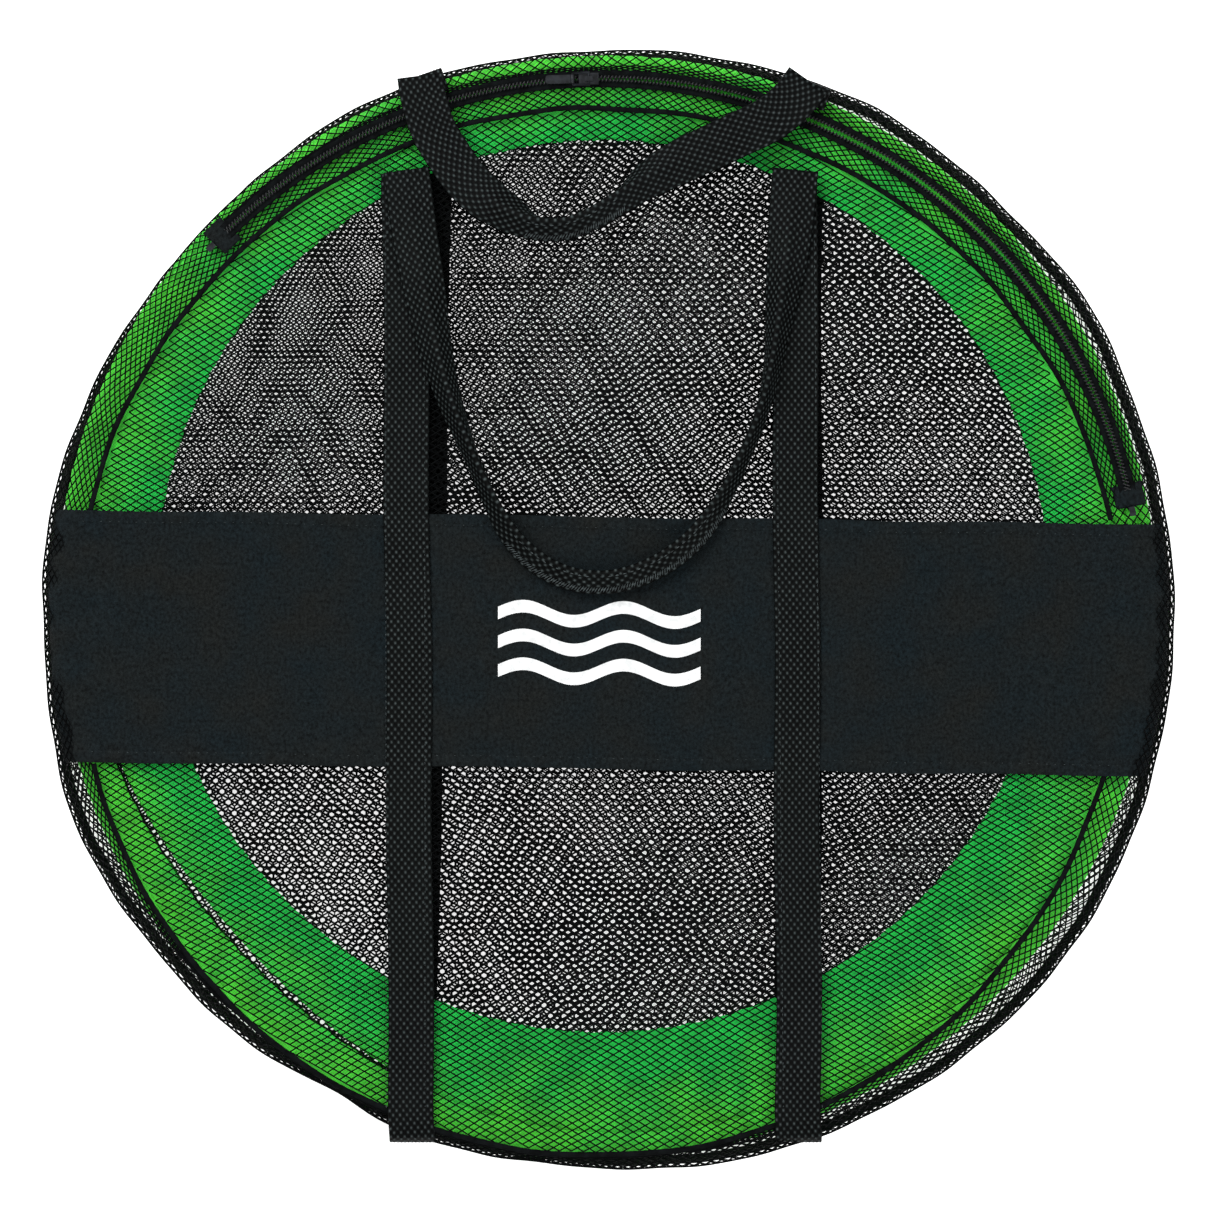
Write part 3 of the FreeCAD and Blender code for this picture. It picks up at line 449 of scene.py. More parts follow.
def net_finish(colour):
    """Polyester net, twisted and heat set: near black with a faint satin line on each thread."""
    def build(tree):
        twist = woven_height(tree, 0.0012, 0.0017)
        return {"Base Color": patches(tree, rgba(colour, 0.4), rgba(colour, 1.1), 0.006),
                "Normal": bumped(tree, twist, 0.00006)}
    return finished("Polyester_net_heat_set", build, Roughness=0.6, Specular_IOR_Level=0.05)


def mesh_finish(colour):
    """Warp-knitted polyester mesh: black, slightly shiny where the filaments lie flat between the holes."""
    def build(tree):
        loops = woven_height(tree, 0.0009, 0.0013)
        return {"Base Color": patches(tree, rgba(colour, 0.3), rgba(colour, 1.2), 0.003, detail=1.0),
                "Normal": bumped(tree, loops, 0.00008)}
    return finished("Polyester_mesh_warp_knitted", build, Roughness=0.6, Specular_IOR_Level=0.05)


def green_finish(inner, outer):
    """Green polyester ripstop, woven and dyed emerald, with painted light that makes it yellower and lighter
    towards the hoop, where its bulge faces the light, the close grid of its weave, and painted shade of soft
    creases. Its
    0.5 mm weave is drawn at 1.6 mm so that it shows. The two greens' border wanders by up to half of wander each
    way."""
    wander = 0.09

    def build(tree):
        place = add(tree, "TexCoord").outputs["Object"]
        flat = add(tree, "VectorMath", {0: place, 1: (1, 1, 0)}, operation="MULTIPLY")
        radius = add(tree, "VectorMath", {0: flat.outputs[0]}, operation="LENGTH")
        noise = add(tree, "TexNoise", {"Vector": scaled(tree, 0.035), "Scale": 1.0, "Detail": 3.0})
        spread = add(tree, "Math", {0: noise.outputs[0], 1: wander, 2: radius.outputs["Value"]},
                     operation="MULTIPLY_ADD")
        # Painted light: with distance from the middle, the green turns yellower and lighter towards the hoop, where
        # the cloth bulges towards the light.
        share = add(tree, "MapRange", {
            "Value": spread.outputs[0], "From Min": 0.255 + wander / 2, "From Max": 0.300 + wander / 2})
        lit_hue = add(tree, "Mix", {0: share.outputs[0], 6: rgba(inner), 7: rgba(outer)}, data_type="RGBA")
        weave = woven_height(tree, 0.0016, 0.0016)
        grain = add(tree, "MapRange", {"Value": weave, "To Min": 0.70, "To Max": 1.20})
        # Painted shade: soft noise scales the green from 0.76 to 1.18 times, as the light and shade of soft
        # creases.
        crease_shade_noise = add(tree, "TexNoise", {"Vector": scaled(tree, 0.009), "Scale": 1.0, "Detail": 2.0})
        shade = add(tree, "MapRange", {"Value": crease_shade_noise.outputs[0], "From Min": 0.3, "From Max": 0.7,
                                       "To Min": 0.76, "To Max": 1.18})
        both = add(tree, "Math", {0: grain.outputs[0], 1: shade.outputs[0]}, operation="MULTIPLY")
        colour = add(tree, "VectorMath", {0: lit_hue.outputs[2], "Scale": both.outputs[0]}, operation="SCALE")
        return {"Base Color": colour.outputs[0], "Normal": bumped(tree, weave, 0.00012)}
    return finished("Polyester_cloth_woven_green", build, Roughness=0.75, Specular_IOR_Level=0.3)


def cloth_finish(colour):
    """Brushed polyester, woven black: matt charcoal with blue and brown tinges and a fine grain. Its 0.4 mm
    threads are drawn at 1.3 mm so that they show."""
    def build(tree):
        red, middle, blue = colour
        cool, warm = rgba((red * 0.8, middle, blue * 1.15)), rgba((red * 1.25, middle, blue * 0.9))
        tone = patches(tree, cool, warm, 0.03, 0.3, 0.7)
        grain = add(tree, "TexNoise", {"Vector": scaled(tree, (0.0016, 0.0019, 0.0016)), "Scale": 1.0,
                                       "Detail": 4.0, "Roughness": 0.7})
        gain = add(tree, "MapRange", {"Value": grain.outputs[0], "From Min": 0.3, "From Max": 0.7,
                                      "To Min": 0.25, "To Max": 2.0})
        shade = add(tree, "VectorMath", {0: tone, "Scale": gain.outputs[0]}, operation="SCALE")
        weave = woven_height(tree, 0.0013, 0.0013, turn=0.3)
        return {"Base Color": shade.outputs[0], "Normal": bumped(tree, weave, 0.00008)}
    return finished("Polyester_cloth_brushed_black", build, Roughness=0.85, Specular_IOR_Level=0.08)


def webbing_finish(colour, float_glint):
    """Polypropylene webbing, woven: rows of raised floats, each with a painted highlight at its crest for the speck
    of light it catches, 2.4 mm apart along the strap and 2 mm across, with dark gaps between them. A wave's length
    is two floats."""
    def build(tree):
        floats = woven_height(tree, 0.0048, 0.0040, uv=True)
        glint_share = add(tree, "Math", {0: floats, 1: 5.0}, operation="POWER")
        # Soft noise makes each float's painted highlight stronger or weaker.
        glint_noise = add(tree, "TexNoise", {"Vector": scaled(tree, 0.004, uv=True), "Scale": 1.0, "Detail": 2.0})
        share = add(tree, "Math", {0: glint_share.outputs[0], 1: glint_noise.outputs[0]}, operation="MULTIPLY")
        body = patches(tree, rgba(colour, 0.5), rgba(colour, 1.3), 0.02)
        mixed = add(tree, "Mix", {0: share.outputs[0], 6: body, 7: rgba(float_glint)}, data_type="RGBA")
        return {"Base Color": mixed.outputs[2], "Normal": bumped(tree, floats, 0.00035)}
    return finished("Polypropylene_webbing_woven", build, Roughness=0.6, Specular_IOR_Level=0.05)


def tape_finish(colour, name):
    """Narrow woven tape: close ribs across it, matt black."""
    def build(tree):
        ribs = woven_height(tree, 0.0011, 0.0011, uv=True)
        tone = patches(tree, rgba(colour, 0.6), rgba(colour, 1.9), 0.004)
        return {"Base Color": tone, "Normal": bumped(tree, ribs, 0.0001)}
    return finished(name, build, Roughness=0.75, Specular_IOR_Level=0.05)


def smooth_finish(name, colour, roughness, metallic=0.0, grain=0.0006, depth=0.00002, light=1.8, coat=0.0):
    """Moulded, drawn, cast or printed surfaces: a fine grain in colour and height at the given size."""
    def build(tree):
        fine = add(tree, "TexNoise", {"Vector": scaled(tree, grain), "Scale": 1.0, "Detail": 3.0})
        return {"Base Color": patches(tree, rgba(colour, 0.75), rgba(colour, light), 0.004),
                "Normal": bumped(tree, fine.outputs[0], depth)}
    return finished(name, build, Roughness=roughness, Metallic=metallic, Coat_Weight=coat)


# ---------------------------------------------------------------- shared shapes

def settings():
    """The user's sizes of the bag, sizes of the trap, and colours."""
    scene = bpy.context.scene
    return scene.crab_trap_bag, scene.crab_trap_trap, scene.crab_trap_colours


def band_sag(x):
    """How the band's edges wander along it."""
    return 0.0006 * ripple(x, 0 * x, 7, 0.11)


def strap_room(x):
    """1 between the straps and 0 under them, so that cloth lies flat where a strap crosses it."""
    room = 1.0
    for middle in STRAP_MIDDLES:
        room = room * (1 - np.exp(-((x - middle) / 0.019) ** 6))
    return room


def band_height(x, y):
    """The band's top: flat under the straps, a little slack between them, puckered where it is sewn at its ends,
    and turned down over the rim."""
    slack = 0.0007 * (1 + ripple(x * 0.55, y, 5, 0.075)) + 0.0005 * (1 + ripple(x, y * 1.4, 6, 0.030))
    pucker = 0.0009 * np.exp(-(0.300 - np.abs(x)) / 0.030) * (1 + np.sin(TURN * y / 0.021 + 20 * x))
    over = np.maximum(0.0, np.hypot(x, y) - 0.299) ** 2 / 0.024
    return BAND_HIGH.z - 0.00005 + 0.6 * (slack + pucker) * strap_room(x) - over


def bag_net(name, points, keep, flat, nodes):
    """One cut of the bag's net, from a grid whose every second point is a knot. Its own area, worked out here but
    not used, is half of the threads' skin as the net was knotted, before it is pulled or gathered: a knot has two
    threads of its own, each the slanted side of a cell long. Where a length isn't given, it is what so many whole
    cells take up."""
    bag, _, colours = settings()
    width, height = bag.thread, bag.thread * 0.8
    normals = np.cross(np.gradient(points, axis=0), np.gradient(points, axis=1))
    verts, faces = thread_net(points, normals, keep, width, height)
    piece = make(name, verts, faces, net_finish(colours.net))
    seat(piece, "bag", "bag_net", *nodes)
    i, j = np.indices(keep.shape)
    knots = int((keep & ((i + j) % 2 == 0)).sum())
    width_flat, length_flat = flat
    if length_flat is None:
        length_flat = knots * bag.cell_width * bag.cell_height / 2 / width_flat
    return piece


def diamond_plane(left, right, low, high):
    """Knot places of a flat net between four sides, slightly pulled about."""
    bag, _, _ = settings()
    x, y = table(np.arange(left, right, bag.cell_width / 2), np.arange(low, high, bag.cell_height / 2))
    pulled_x = x + 0.0016 * ripple(x, y, 11, 0.16) + 0.0004 * ripple(x, y, 12, 0.035)
    pulled_y = y + 0.0012 * ripple(x, y, 13, 0.14) + 0.0003 * ripple(x, y, 14, 0.030)
    return pulled_x, pulled_y


def mouth_gap(angle):
    """How far each zip tape stands off the closed line: a lens where the zip is open, else nothing."""
    t = np.clip((angle - ZIP_FROM) / (ZIP_SLIDER - ZIP_FROM), 0, 1)
    return 0.0011 * np.sin(math.pi * t) ** 0.8 * (0.55 + 0.45 * t)


def gusset(angle, start, depth):
    """The bag's side in section: straight from the seam at start out to the rim, round over it and down to the back
    seam, through five points joined in order. depth runs from 0 at the seam to 1 at the back."""
    outer = rim_reach(angle)
    marks = (0.0, 0.30, 0.46, 0.72, 1.0)
    corners = ((start, 0.0366), (np.maximum(outer - 0.0085, start + 0.002), 0.0368), (outer - 0.0002, 0.0330),
               (outer + 0.0002, 0.0190), (np.minimum(outer - 0.004, 0.3085), 0.0042))
    share = [np.interp(depth, marks, nearest) for nearest in np.eye(5)]
    r = sum(w * radius for w, (radius, _) in zip(share, corners))
    z = sum(w * height for w, (_, height) in zip(share, corners))
    z = z + 0.0004 * np.sin(41 * angle + 9 * depth) * np.sin(math.pi * depth)
    return polar(angle, r, z)


def gathered_net(name, start_angle, end_angle, radius, gather, rows, place, nodes):
    """A net gathered round the bag between two directions: place(angle, share) gives its points from the seam to
    its other edge, and gather is how much more net there is than the arc at the given radius."""
    bag, _, _ = settings()
    length = radius * gather * (end_angle - start_angle)
    count = int((end_angle - start_angle) * radius * gather / (bag.cell_width / 2))
    angle, share = table(np.linspace(start_angle, end_angle, count), np.linspace(0, 1, rows))
    bag_net(name, place(angle, share)[:, ::-1], np.ones(angle.shape, bool), (length, None),
            nodes)


def side_net(start):
    """Places of the side's net, whose seam lies at start(angle); its threads wander between its edges."""
    def place(angle, depth):
        wobble = 0.010 * ripple(angle * 0.3, depth * 0.05, 17, 0.05)
        return gusset(angle + wobble * depth * (1 - depth) * 2, start(angle), depth)
    return place


def mouth_front(angle, share):
    """Places of the net between the front seam and the zip's front tape, a little bunched."""
    inner, outer = reach(FRONT_SEAM, angle), reach(ZIP_CIRCLE, angle) - TAPE_WIDTH - mouth_gap(angle)
    bunch = 0.0004 * ripple(angle * 0.29, share * 0.02, 18, 0.014)
    return polar(angle, inner + (outer - inner) * share, NET_LEVEL + bunch)


# ---------------------------------------------------------------- operators: the bag

class CRABTRAP_OT_nets(bpy.types.Operator):
    """Build the bag's diamond net: front, back, side and the two lips of the zipped mouth"""
    bl_idname = "crabtrap.nets"
    bl_label = "Bag nets"

    def execute(self, context):
        x0, y0, radius = FRONT_SEAM
        x, y = diamond_plane(x0 - radius, x0 + radius, y0 - radius, y0 + radius)
        inside = np.hypot(x - x0, y - y0) < radius - 0.0006
        points = np.stack([x, y, NET_LEVEL + 0.00025 * ripple(x, y, 15, 0.05)], -1)
        above, behind_band = y - BAND_MIDDLE - x * BAND_SLOPE, 0.066
        for name, part, flat in (
                ("front_net_above", above > behind_band, (0.564, 0.235)),
                ("front_net_below", above < -behind_band, (0.558, 0.222))):
            bag_net(name, points, inside & part, flat,
                    ["front_net_panel"])
        beyond = 0.32
        x, y = diamond_plane(-beyond, beyond, -beyond, beyond)
        inside = np.hypot(x, y) < rim_reach(np.arctan2(y, x)) - 0.006
        points = np.stack([x, y, BACK_SKIN + 0.0006 + 0.00025 * ripple(x, y, 16, 0.05)], -1)
        half = len(x) // 2
        for name, part in (("back_net_left", slice(0, half + 1)), ("back_net_right", slice(half, None))):
            bag_net(name, points[part], inside[part], (0.310, 0.616),
                    ["back_net_panel"])
        gathered_net("side_net_round", ZIP_TO, ZIP_FROM + TURN, 0.308, 1.12, 31,
                     side_net(lambda angle: reach(FRONT_SEAM, angle)),
                     ["side_wall_lower", "lip_lower"])
        gathered_net("side_net_mouth", ZIP_FROM, ZIP_TO, 0.308, 1.1, 22,
                     side_net(lambda angle: reach(ZIP_CIRCLE, angle) + TAPE_WIDTH + mouth_gap(angle)),
                     ["side_wall_mouth", "lip_mouth_rim"])
        gathered_net("mouth_net_front", ZIP_FROM, ZIP_TO, 0.290, 1.2, 8, mouth_front,
                     ["lip_mouth_front"])
        return {"FINISHED"}


class CRABTRAP_OT_edges(bpy.types.Operator):
    """Build the corded piping round the front panel and the binding round the back"""
    bl_idname = "crabtrap.edges"
    bl_label = "Piping and binding"

    def execute(self, context):
        bag, _, colours = settings()
        finish = tape_finish(colours.net, "Polyester_tape_folded")
        x0, y0, radius = FRONT_SEAM
        turn = directions(16)
        ends = ((12.3, 167.7), (194.6, 345.8))  # above and below the band, in degrees
        for name, (start, end) in zip(("front_piping_above", "front_piping_below"), np.radians(ends)):
            angle = np.linspace(start, end, 520)
            wobble = 0.0005 * ripple(angle * 0.3, angle * 0, 21, 0.05)
            path = polar(angle, radius + wobble, NET_TOP + 0.0004) + (x0, y0, 0)
            cord = 1 + 0.05 * np.sin(TURN * angle[:, None] * radius / 0.006 + turn)
            oval = np.stack([bag.piping / 2 * np.cos(turn) * cord, 0.0006 * np.sin(turn) * cord], -1)
            seat(swept(name, path, UPWARDS, oval, finish), "bag", "binding", "front_piping")
        angle = directions(720)
        turn = turn[::2] + 0.2
        middle, _ = middle_and_half("back_rim_binding")
        path = polar(angle, rim_reach(angle) - 0.0030, middle[2] + 0.0003 * np.sin(37 * angle))
        puff = 1 + 0.10 * np.sin(TURN * angle[:, None] * 0.31 / 0.009 + 0 * turn)
        wide, tall = 0.0026 * power(np.cos(turn), 0.6), 0.00125 * power(np.sin(turn), 0.7)
        section = np.stack([wide * np.ones_like(puff), tall * puff], -1)
        piece = thicken(swept("back_binding", path, UPWARDS, section, finish, closed=True), 0.0004, -1)
        seat(piece, "bag", "binding", "back_rim_binding")
        return {"FINISHED"}


class CRABTRAP_OT_band(bpy.types.Operator):
    """Build the cloth band across the front, its two hems and its printed mark of three waves"""
    bl_idname = "crabtrap.band"
    bl_label = "Band"

    def strip(self, name, low, high, rows, lift, material, columns=420):
        """A strip of the band between two heights above its middle line, following the band's own surface."""
        line = np.linspace(low, high, rows)
        ends = []
        for side in (-1, 1):
            lift_angle = np.arcsin((BAND_MIDDLE + line + side * 0.3 * BAND_SLOPE) / 0.311)
            angle = lift_angle if side > 0 else math.pi - lift_angle
            ends.append((rim_reach(angle) - 0.0035) * np.cos(angle))
        share = np.linspace(0, 1, columns)[:, None]
        x = ends[0] + (ends[1] - ends[0]) * share
        y = BAND_MIDDLE + line + x * BAND_SLOPE + band_sag(x)
        return surface(name, np.stack([x, y, band_height(x, y) + lift(line)], -1), material,
                       (0.610 / columns, (high - low) / rows))

    def execute(self, context):
        _, _, colours = settings()
        cloth = cloth_finish(colours.cloth)
        half, hem = 0.0700, 0.0070
        band = thicken(self.strip("front_band_cloth", -half, half, 90, lambda t: 0 * t, cloth), 0.0006, -1)
        seat(band, "bag", "band_cloth", "front_band")
        for side, low, high in (("top", half - hem, half), ("bottom", -half, hem - half)):
            def roll(t, low=low):
                """The fold's round back: half of an ellipse across the hem."""
                u = (t - low) / hem
                return 0.0001 + 0.00045 * np.sqrt(np.clip(4 * u * (1 - u), 0, 1))
            piece = self.strip("band_hem_fold_" + side, low, high, 9, roll, cloth)
            seat(piece, "bag", "band_cloth", "band_hem_" + side)
        self.waves(colours)
        runs = []
        for offset in (half - hem + 0.001, -half + hem - 0.001):
            x = np.linspace(-0.292, 0.292, 120)
            y = BAND_MIDDLE + offset + x * BAND_SLOPE + band_sag(x)
            line = np.stack([x, y, band_height(x, y) + 0.0002], -1)
            runs += list(zip(line[:-1], line[1:]))
        sew(runs, "band_hem_stitching", UPWARDS, 0.0006, 0.0049, 0.62)
        return {"FINISHED"}

    def waves(self, colours):
        """The printed mark: three sine waves, one above the other, a hair above the cloth."""
        ink = smooth_finish("Screen_print_white_ink", colours.print_ink, 0.45, grain=0.0009, depth=0.00003,
                            light=1.0)
        low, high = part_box("band_emblem")
        apart, rise, wavelength, half = 0.016, 0.004, 0.056, 0.0035
        x = np.linspace(low.x, high.x, 90)[:, None]
        rows = []
        for row in (-1, 0, 1):
            across = np.linspace(-half, half, 6)
            local = row * apart + rise * np.sin(TURN * (x - low.x) / wavelength) + across
            y = BAND_MIDDLE + x * BAND_SLOPE + local
            wide = x + 0 * y
            rows.append(np.stack([wide, y, band_height(wide, y) + 0.00012], -1))
        quads = [grid_faces(row.shape)[0] + k * row.shape[0] * row.shape[1] for k, row in enumerate(rows)]
        mark = make("band_wave_print", np.concatenate([row.reshape(-1, 3) for row in rows]), quads, ink)
        return seat(mark, "bag", "print_white", "band_emblem")


def sew(runs, name, up, width, spacing, share, body="bag", nodes=()):
    """A row of stitches in thread, riding on a body."""
    _, _, colours = settings()
    points, faces = stitches(runs, up, width, spacing, share)
    # Painted sheen: the thread's grey, in patches up to 2.6 times brighter, stands for the shine on black thread.
    thread = smooth_finish("Polyester_sewing_thread", colours.thread_with_painted_shine, 0.5, grain=0.0004, depth=0.00004,
                           light=2.6)
    seat(make(name, points, faces, thread, smooth=False), body, "thread", *nodes)


def evened(values, times):
    """Values smoothed along their row: each the mean of the five about it, so many times over."""
    for _ in range(times):
        values = np.convolve(np.pad(values, 2, mode="edge"), np.ones(5) / 5, "valid")
    return values


def webbing(name, path, material, folds=((0, 0, 0), (1, 0, 0)), rest=None, up=UPWARDS):
    """Woven webbing carried along a path. Its section is a line of the strap's width, folded down the middle by
    an angle and rolled over by another; folds lists (share of the length, fold, roll) in degrees. Ribs run along
    it as a cosine across its width. Where rest is given, the lowest edge of each section lies at that height.
    Returns the piece and its skin, as points along and round it."""
    bag, _, _ = settings()
    width, thickness = bag.strap_width, bag.strap_thickness
    share = np.linspace(0, 1, len(path))
    keys = np.array(folds, float)
    fold, roll = (evened(np.radians(np.interp(share, keys[:, 0], keys[:, k])), 6) for k in (1, 2))
    count = 49
    s = np.linspace(-width / 2, width / 2, count)
    bend = -fold[:, None] * np.tanh(s / 0.0011)
    ds = s[1] - s[0]
    x, z = np.cumsum(np.cos(bend), 1) * ds, np.cumsum(np.sin(bend), 1) * ds
    x, z = x - x[:, count // 2:count // 2 + 1], z - z[:, count // 2:count // 2 + 1]
    ribs = 0.00011 * np.cos(TURN * s / 0.0020)
    edge = np.clip((width / 2 - np.abs(s)) / 0.0006, 0.15, 1) ** 0.5
    half = thickness / 2 * edge + ribs
    top = np.stack([x - np.sin(bend) * half, z + np.cos(bend) * half], -1)
    low = np.stack([x + np.sin(bend) * half, z - np.cos(bend) * half], -1)
    section = np.concatenate([top[:, ::-1], low], 1)
    c, q = np.cos(roll)[:, None], np.sin(roll)[:, None]
    x, z = section[..., 0], section[..., 1]
    section = np.stack([x * c - z * q, x * q + z * c], -1)
    if rest is not None:
        level = np.interp(share, [k[0] for k in rest], [k[1] for k in rest])
        lift = evened(level - (path[:, 2] + section[..., 1].min(1)), 4)
        path = path + np.stack([0 * lift, 0 * lift, lift], -1)
    piece = swept(name, path, up, section, material)
    tangent = unit(np.gradient(path, axis=0))
    across = unit(np.cross(tangent, up))
    rise = np.cross(across, tangent)
    skin = path[:, None] + section[..., :1] * across[:, None] + section[..., 1:] * rise[:, None]
    return piece, skin


class CRABTRAP_OT_straps(bpy.types.Operator):
    """Build the four webbing straps, which run up the front and the back, and the stitching that holds them"""
    bl_idname = "crabtrap.straps"
    bl_label = "Straps"

    def execute(self, context):
        bag, _, colours = settings()
        finish = webbing_finish(colours.webbing, colours.float_glint)
        half = bag.strap_thickness / 2
        places = (("left", -0.112, -0.108, -0.1035), ("right", 0.1045, 0.107, 0.113))
        for side, top_x, bottom_x, back_x in places:
            self.front_strap(side, top_x, bottom_x, half, finish)
            self.back_strap(side, bottom_x, back_x, half, finish)
        self.tacks()
        return {"FINISHED"}

    def front_strap(self, side, top_x, bottom_x, half, finish):
        """Down the front from its sewn top, over the rim and a little under the back."""
        level = STRAP_HIGH.z - half
        low, top = STRAP_LOW.y + half + 0.0016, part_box("strap_front_" + side)[1].y
        route = [(np.interp(y, (low, top), (bottom_x, top_x)) + 0.0007 * math.sin(40 * y + top_x * 90), y, level)
                 for y in (top, top - 0.010, 0.15, 0.06, -0.03, -0.12, -0.21, low + 0.022, low + 0.010)]
        route += [(bottom_x, low + step, z) for step, z in (
            (0.0035, level - 0.0012), (0, level - 0.006), (0, 0.020), (0, 0.0060), (0.0008, 0.0022))]
        path = even(route, STRAP_STEP)
        tangent = unit(np.gradient(path, axis=0))
        up = np.stack([0 * path[:, 0], tangent[:, 2], -tangent[:, 1]], -1)
        piece, _ = webbing("front_strap_" + side, path, finish, up=up)
        seat(piece, "bag", "webbing", "strap_front_" + side)

    def back_strap(self, side, bottom_x, back_x, half, finish):
        """Up the back, turned square to the rim, and up and in over the rim to where the back handle hangs."""
        low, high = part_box("strap_back_" + side)
        level, over, edge, turn_in = low.z + half, high.z - half, 0.3122, 0.014
        end = math.sqrt(edge ** 2 - back_x ** 2)
        out = np.array((back_x, end)) / edge
        turn_x, turn_y = back_x - turn_in * out[0], end - turn_in * out[1]
        route = [(np.interp(y, (low.y, turn_y), (bottom_x, turn_x)) + 0.0006 * math.sin(35 * y), y, level)
                 for y in (low.y, -0.22, -0.12, -0.03, 0.06, 0.15, 0.24)]
        route += [(back_x + step * out[0], end + step * out[1], z) for step, z in (
            (-turn_in, level), (-0.006, level), (-0.0012, level + 0.0012), (0, level + 0.006), (0, 0.020),
            (0, 0.034), (0, over - 0.003), (-0.002, over - 0.0004), (-0.006, over), (-0.012, over))]
        path = even(route, STRAP_STEP)
        tangent = unit(np.gradient(path, axis=0))
        square = -math.atan2(out[0], out[1])
        turned = np.interp(path[:, 1], (0.24, turn_y), (0, square))
        turned = np.where(path[:, 2] > 0.01, square, turned)
        across = np.stack([np.cos(turned), np.sin(turned), 0 * turned], -1)
        piece, _ = webbing("back_strap_" + side, path, finish, up=np.cross(across, tangent))
        seat(piece, "bag", "webbing", "strap_back_" + side)

    def tacks(self):
        """A sewn box with a cross in it at each strap's top, and a row of stitches along both of its edges."""
        low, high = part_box("strap_tacks")
        z, y0, y1, bottom = low.z - 0.00005, low.y + 0.001, high.y - 0.001, -0.280
        box_half, row_half = 0.0090, 0.0108
        box_runs, edge_runs = [], []
        for middle, drift in ((-0.1118, 0.0003), (0.1046, 0.0045)):
            left, right = middle - box_half, middle + box_half
            a, b, c, d = (left, y0, z), (right, y0, z), (right, y1, z), (left, y1, z)
            box_runs += [(a, b), (b, c), (c, d), (d, a), (a, c), (b, d)]
            for x in (middle - row_half, middle + row_half):
                edge_runs.append(((x, low.y - 0.003, z), (x + drift, bottom, z)))
        sew(box_runs, "strap_box_stitching", UPWARDS, 0.0007, 0.0030, 0.72, nodes=["strap_tacks"])
        sew(edge_runs, "strap_edge_stitching", UPWARDS, 0.0005, 0.0034, 0.60)


class CRABTRAP_OT_zip(bpy.types.Operator):
    """Build the mouth's coil zip: two tapes, two coils and the cloth patches at its ends; finish its metal"""
    bl_idname = "crabtrap.zip"
    bl_label = "Zip"

    def execute(self, context):
        bag, _, colours = settings()
        tape = tape_finish(colours.net, "Polyester_zip_tape_woven")
        coil = smooth_finish("Nylon_coil_moulded", colours.mesh, 0.35, grain=0.0005, light=3.0)
        (_, _, level), _ = middle_and_half("zip_coil_rim")
        rows, coil_half = 560, 0.0008
        for side, sign in (("rim", 1), ("front", -1)):
            angle = np.linspace(ZIP_FROM, ZIP_TO, rows)[:, None]
            across = np.linspace(0.0004, 0.0046, 5)
            r = reach(ZIP_CIRCLE, angle) + sign * (across + mouth_gap(angle))
            points = polar(angle, r, NET_TOP + 0.00005)
            piece = surface("bag_zip_tape_" + side, points, tape, (0.650 / rows, 0.0013), flip=sign > 0)
            thicken(piece, 0.0006, -1)
            seat(piece, "bag", "zip_tape", "zip_tape_" + side)
            turns = int(ZIP_CIRCLE[2] * (ZIP_TO - ZIP_FROM) / bag.tooth_pitch)
            angle = np.linspace(ZIP_FROM + 0.01, ZIP_TO - 0.01, turns * 8 + 1)
            phase = np.arange(turns * 8 + 1) * TURN / 8 + (0 if sign > 0 else math.pi)
            r = reach(ZIP_CIRCLE, angle) + sign * (0.0007 + mouth_gap(angle)) + coil_half * np.cos(phase)
            path = polar(angle, r, level + coil_half * np.sin(phase))
            square = 0.00030 * np.array([(1, -1), (1, 1), (-1, 1), (-1, -1)])
            piece = swept("bag_zip_coil_" + side, path, (0.03, 0.05, 1.0), square, coil)
            seat(piece, "bag", "zip_coil", "zip_coil_" + side)
        for name, middle in (("zip_end_patch_right", ZIP_FROM), ("zip_end_patch_left", ZIP_TO)):
            angle = middle + np.linspace(-0.022, 0.022, 13)[:, None]
            swell = np.cos(np.linspace(-1.3, 1.3, 13))
            points = polar(angle, reach(ZIP_CIRCLE, angle) + np.linspace(-0.0085, 0.0085, 13),
                           0.0367 + 0.0005 * swell[:, None] * swell)
            piece = surface(name, points, cloth_finish(colours.cloth), (0.001, 0.001), flip=True)
            thicken(piece, 0.0005, -1)
            seat(piece, "bag", "zip_tape", "zip_end_tabs")
        metal = smooth_finish("Zinc_die_cast_lacquered", colours.metal, 0.32, 0.85, grain=0.0005, depth=0.00001,
                              light=2.6, coat=0.4)
        repaint(metal, "zip_slider_body", "zip_slider_bridge", "zip_stops", "zip_pull_tab")
        wire = smooth_finish("Steel_wire_blackened", colours.metal, 0.25, 0.9, grain=0.0004, light=3.0)
        repaint(wire, "zip_pull_loop")
        return {"FINISHED"}


def repaint(material, *nodes):
    """Gives CAD nodes a better finish."""
    for node in nodes:
        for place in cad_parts[node].material_slots:
            place.material = material


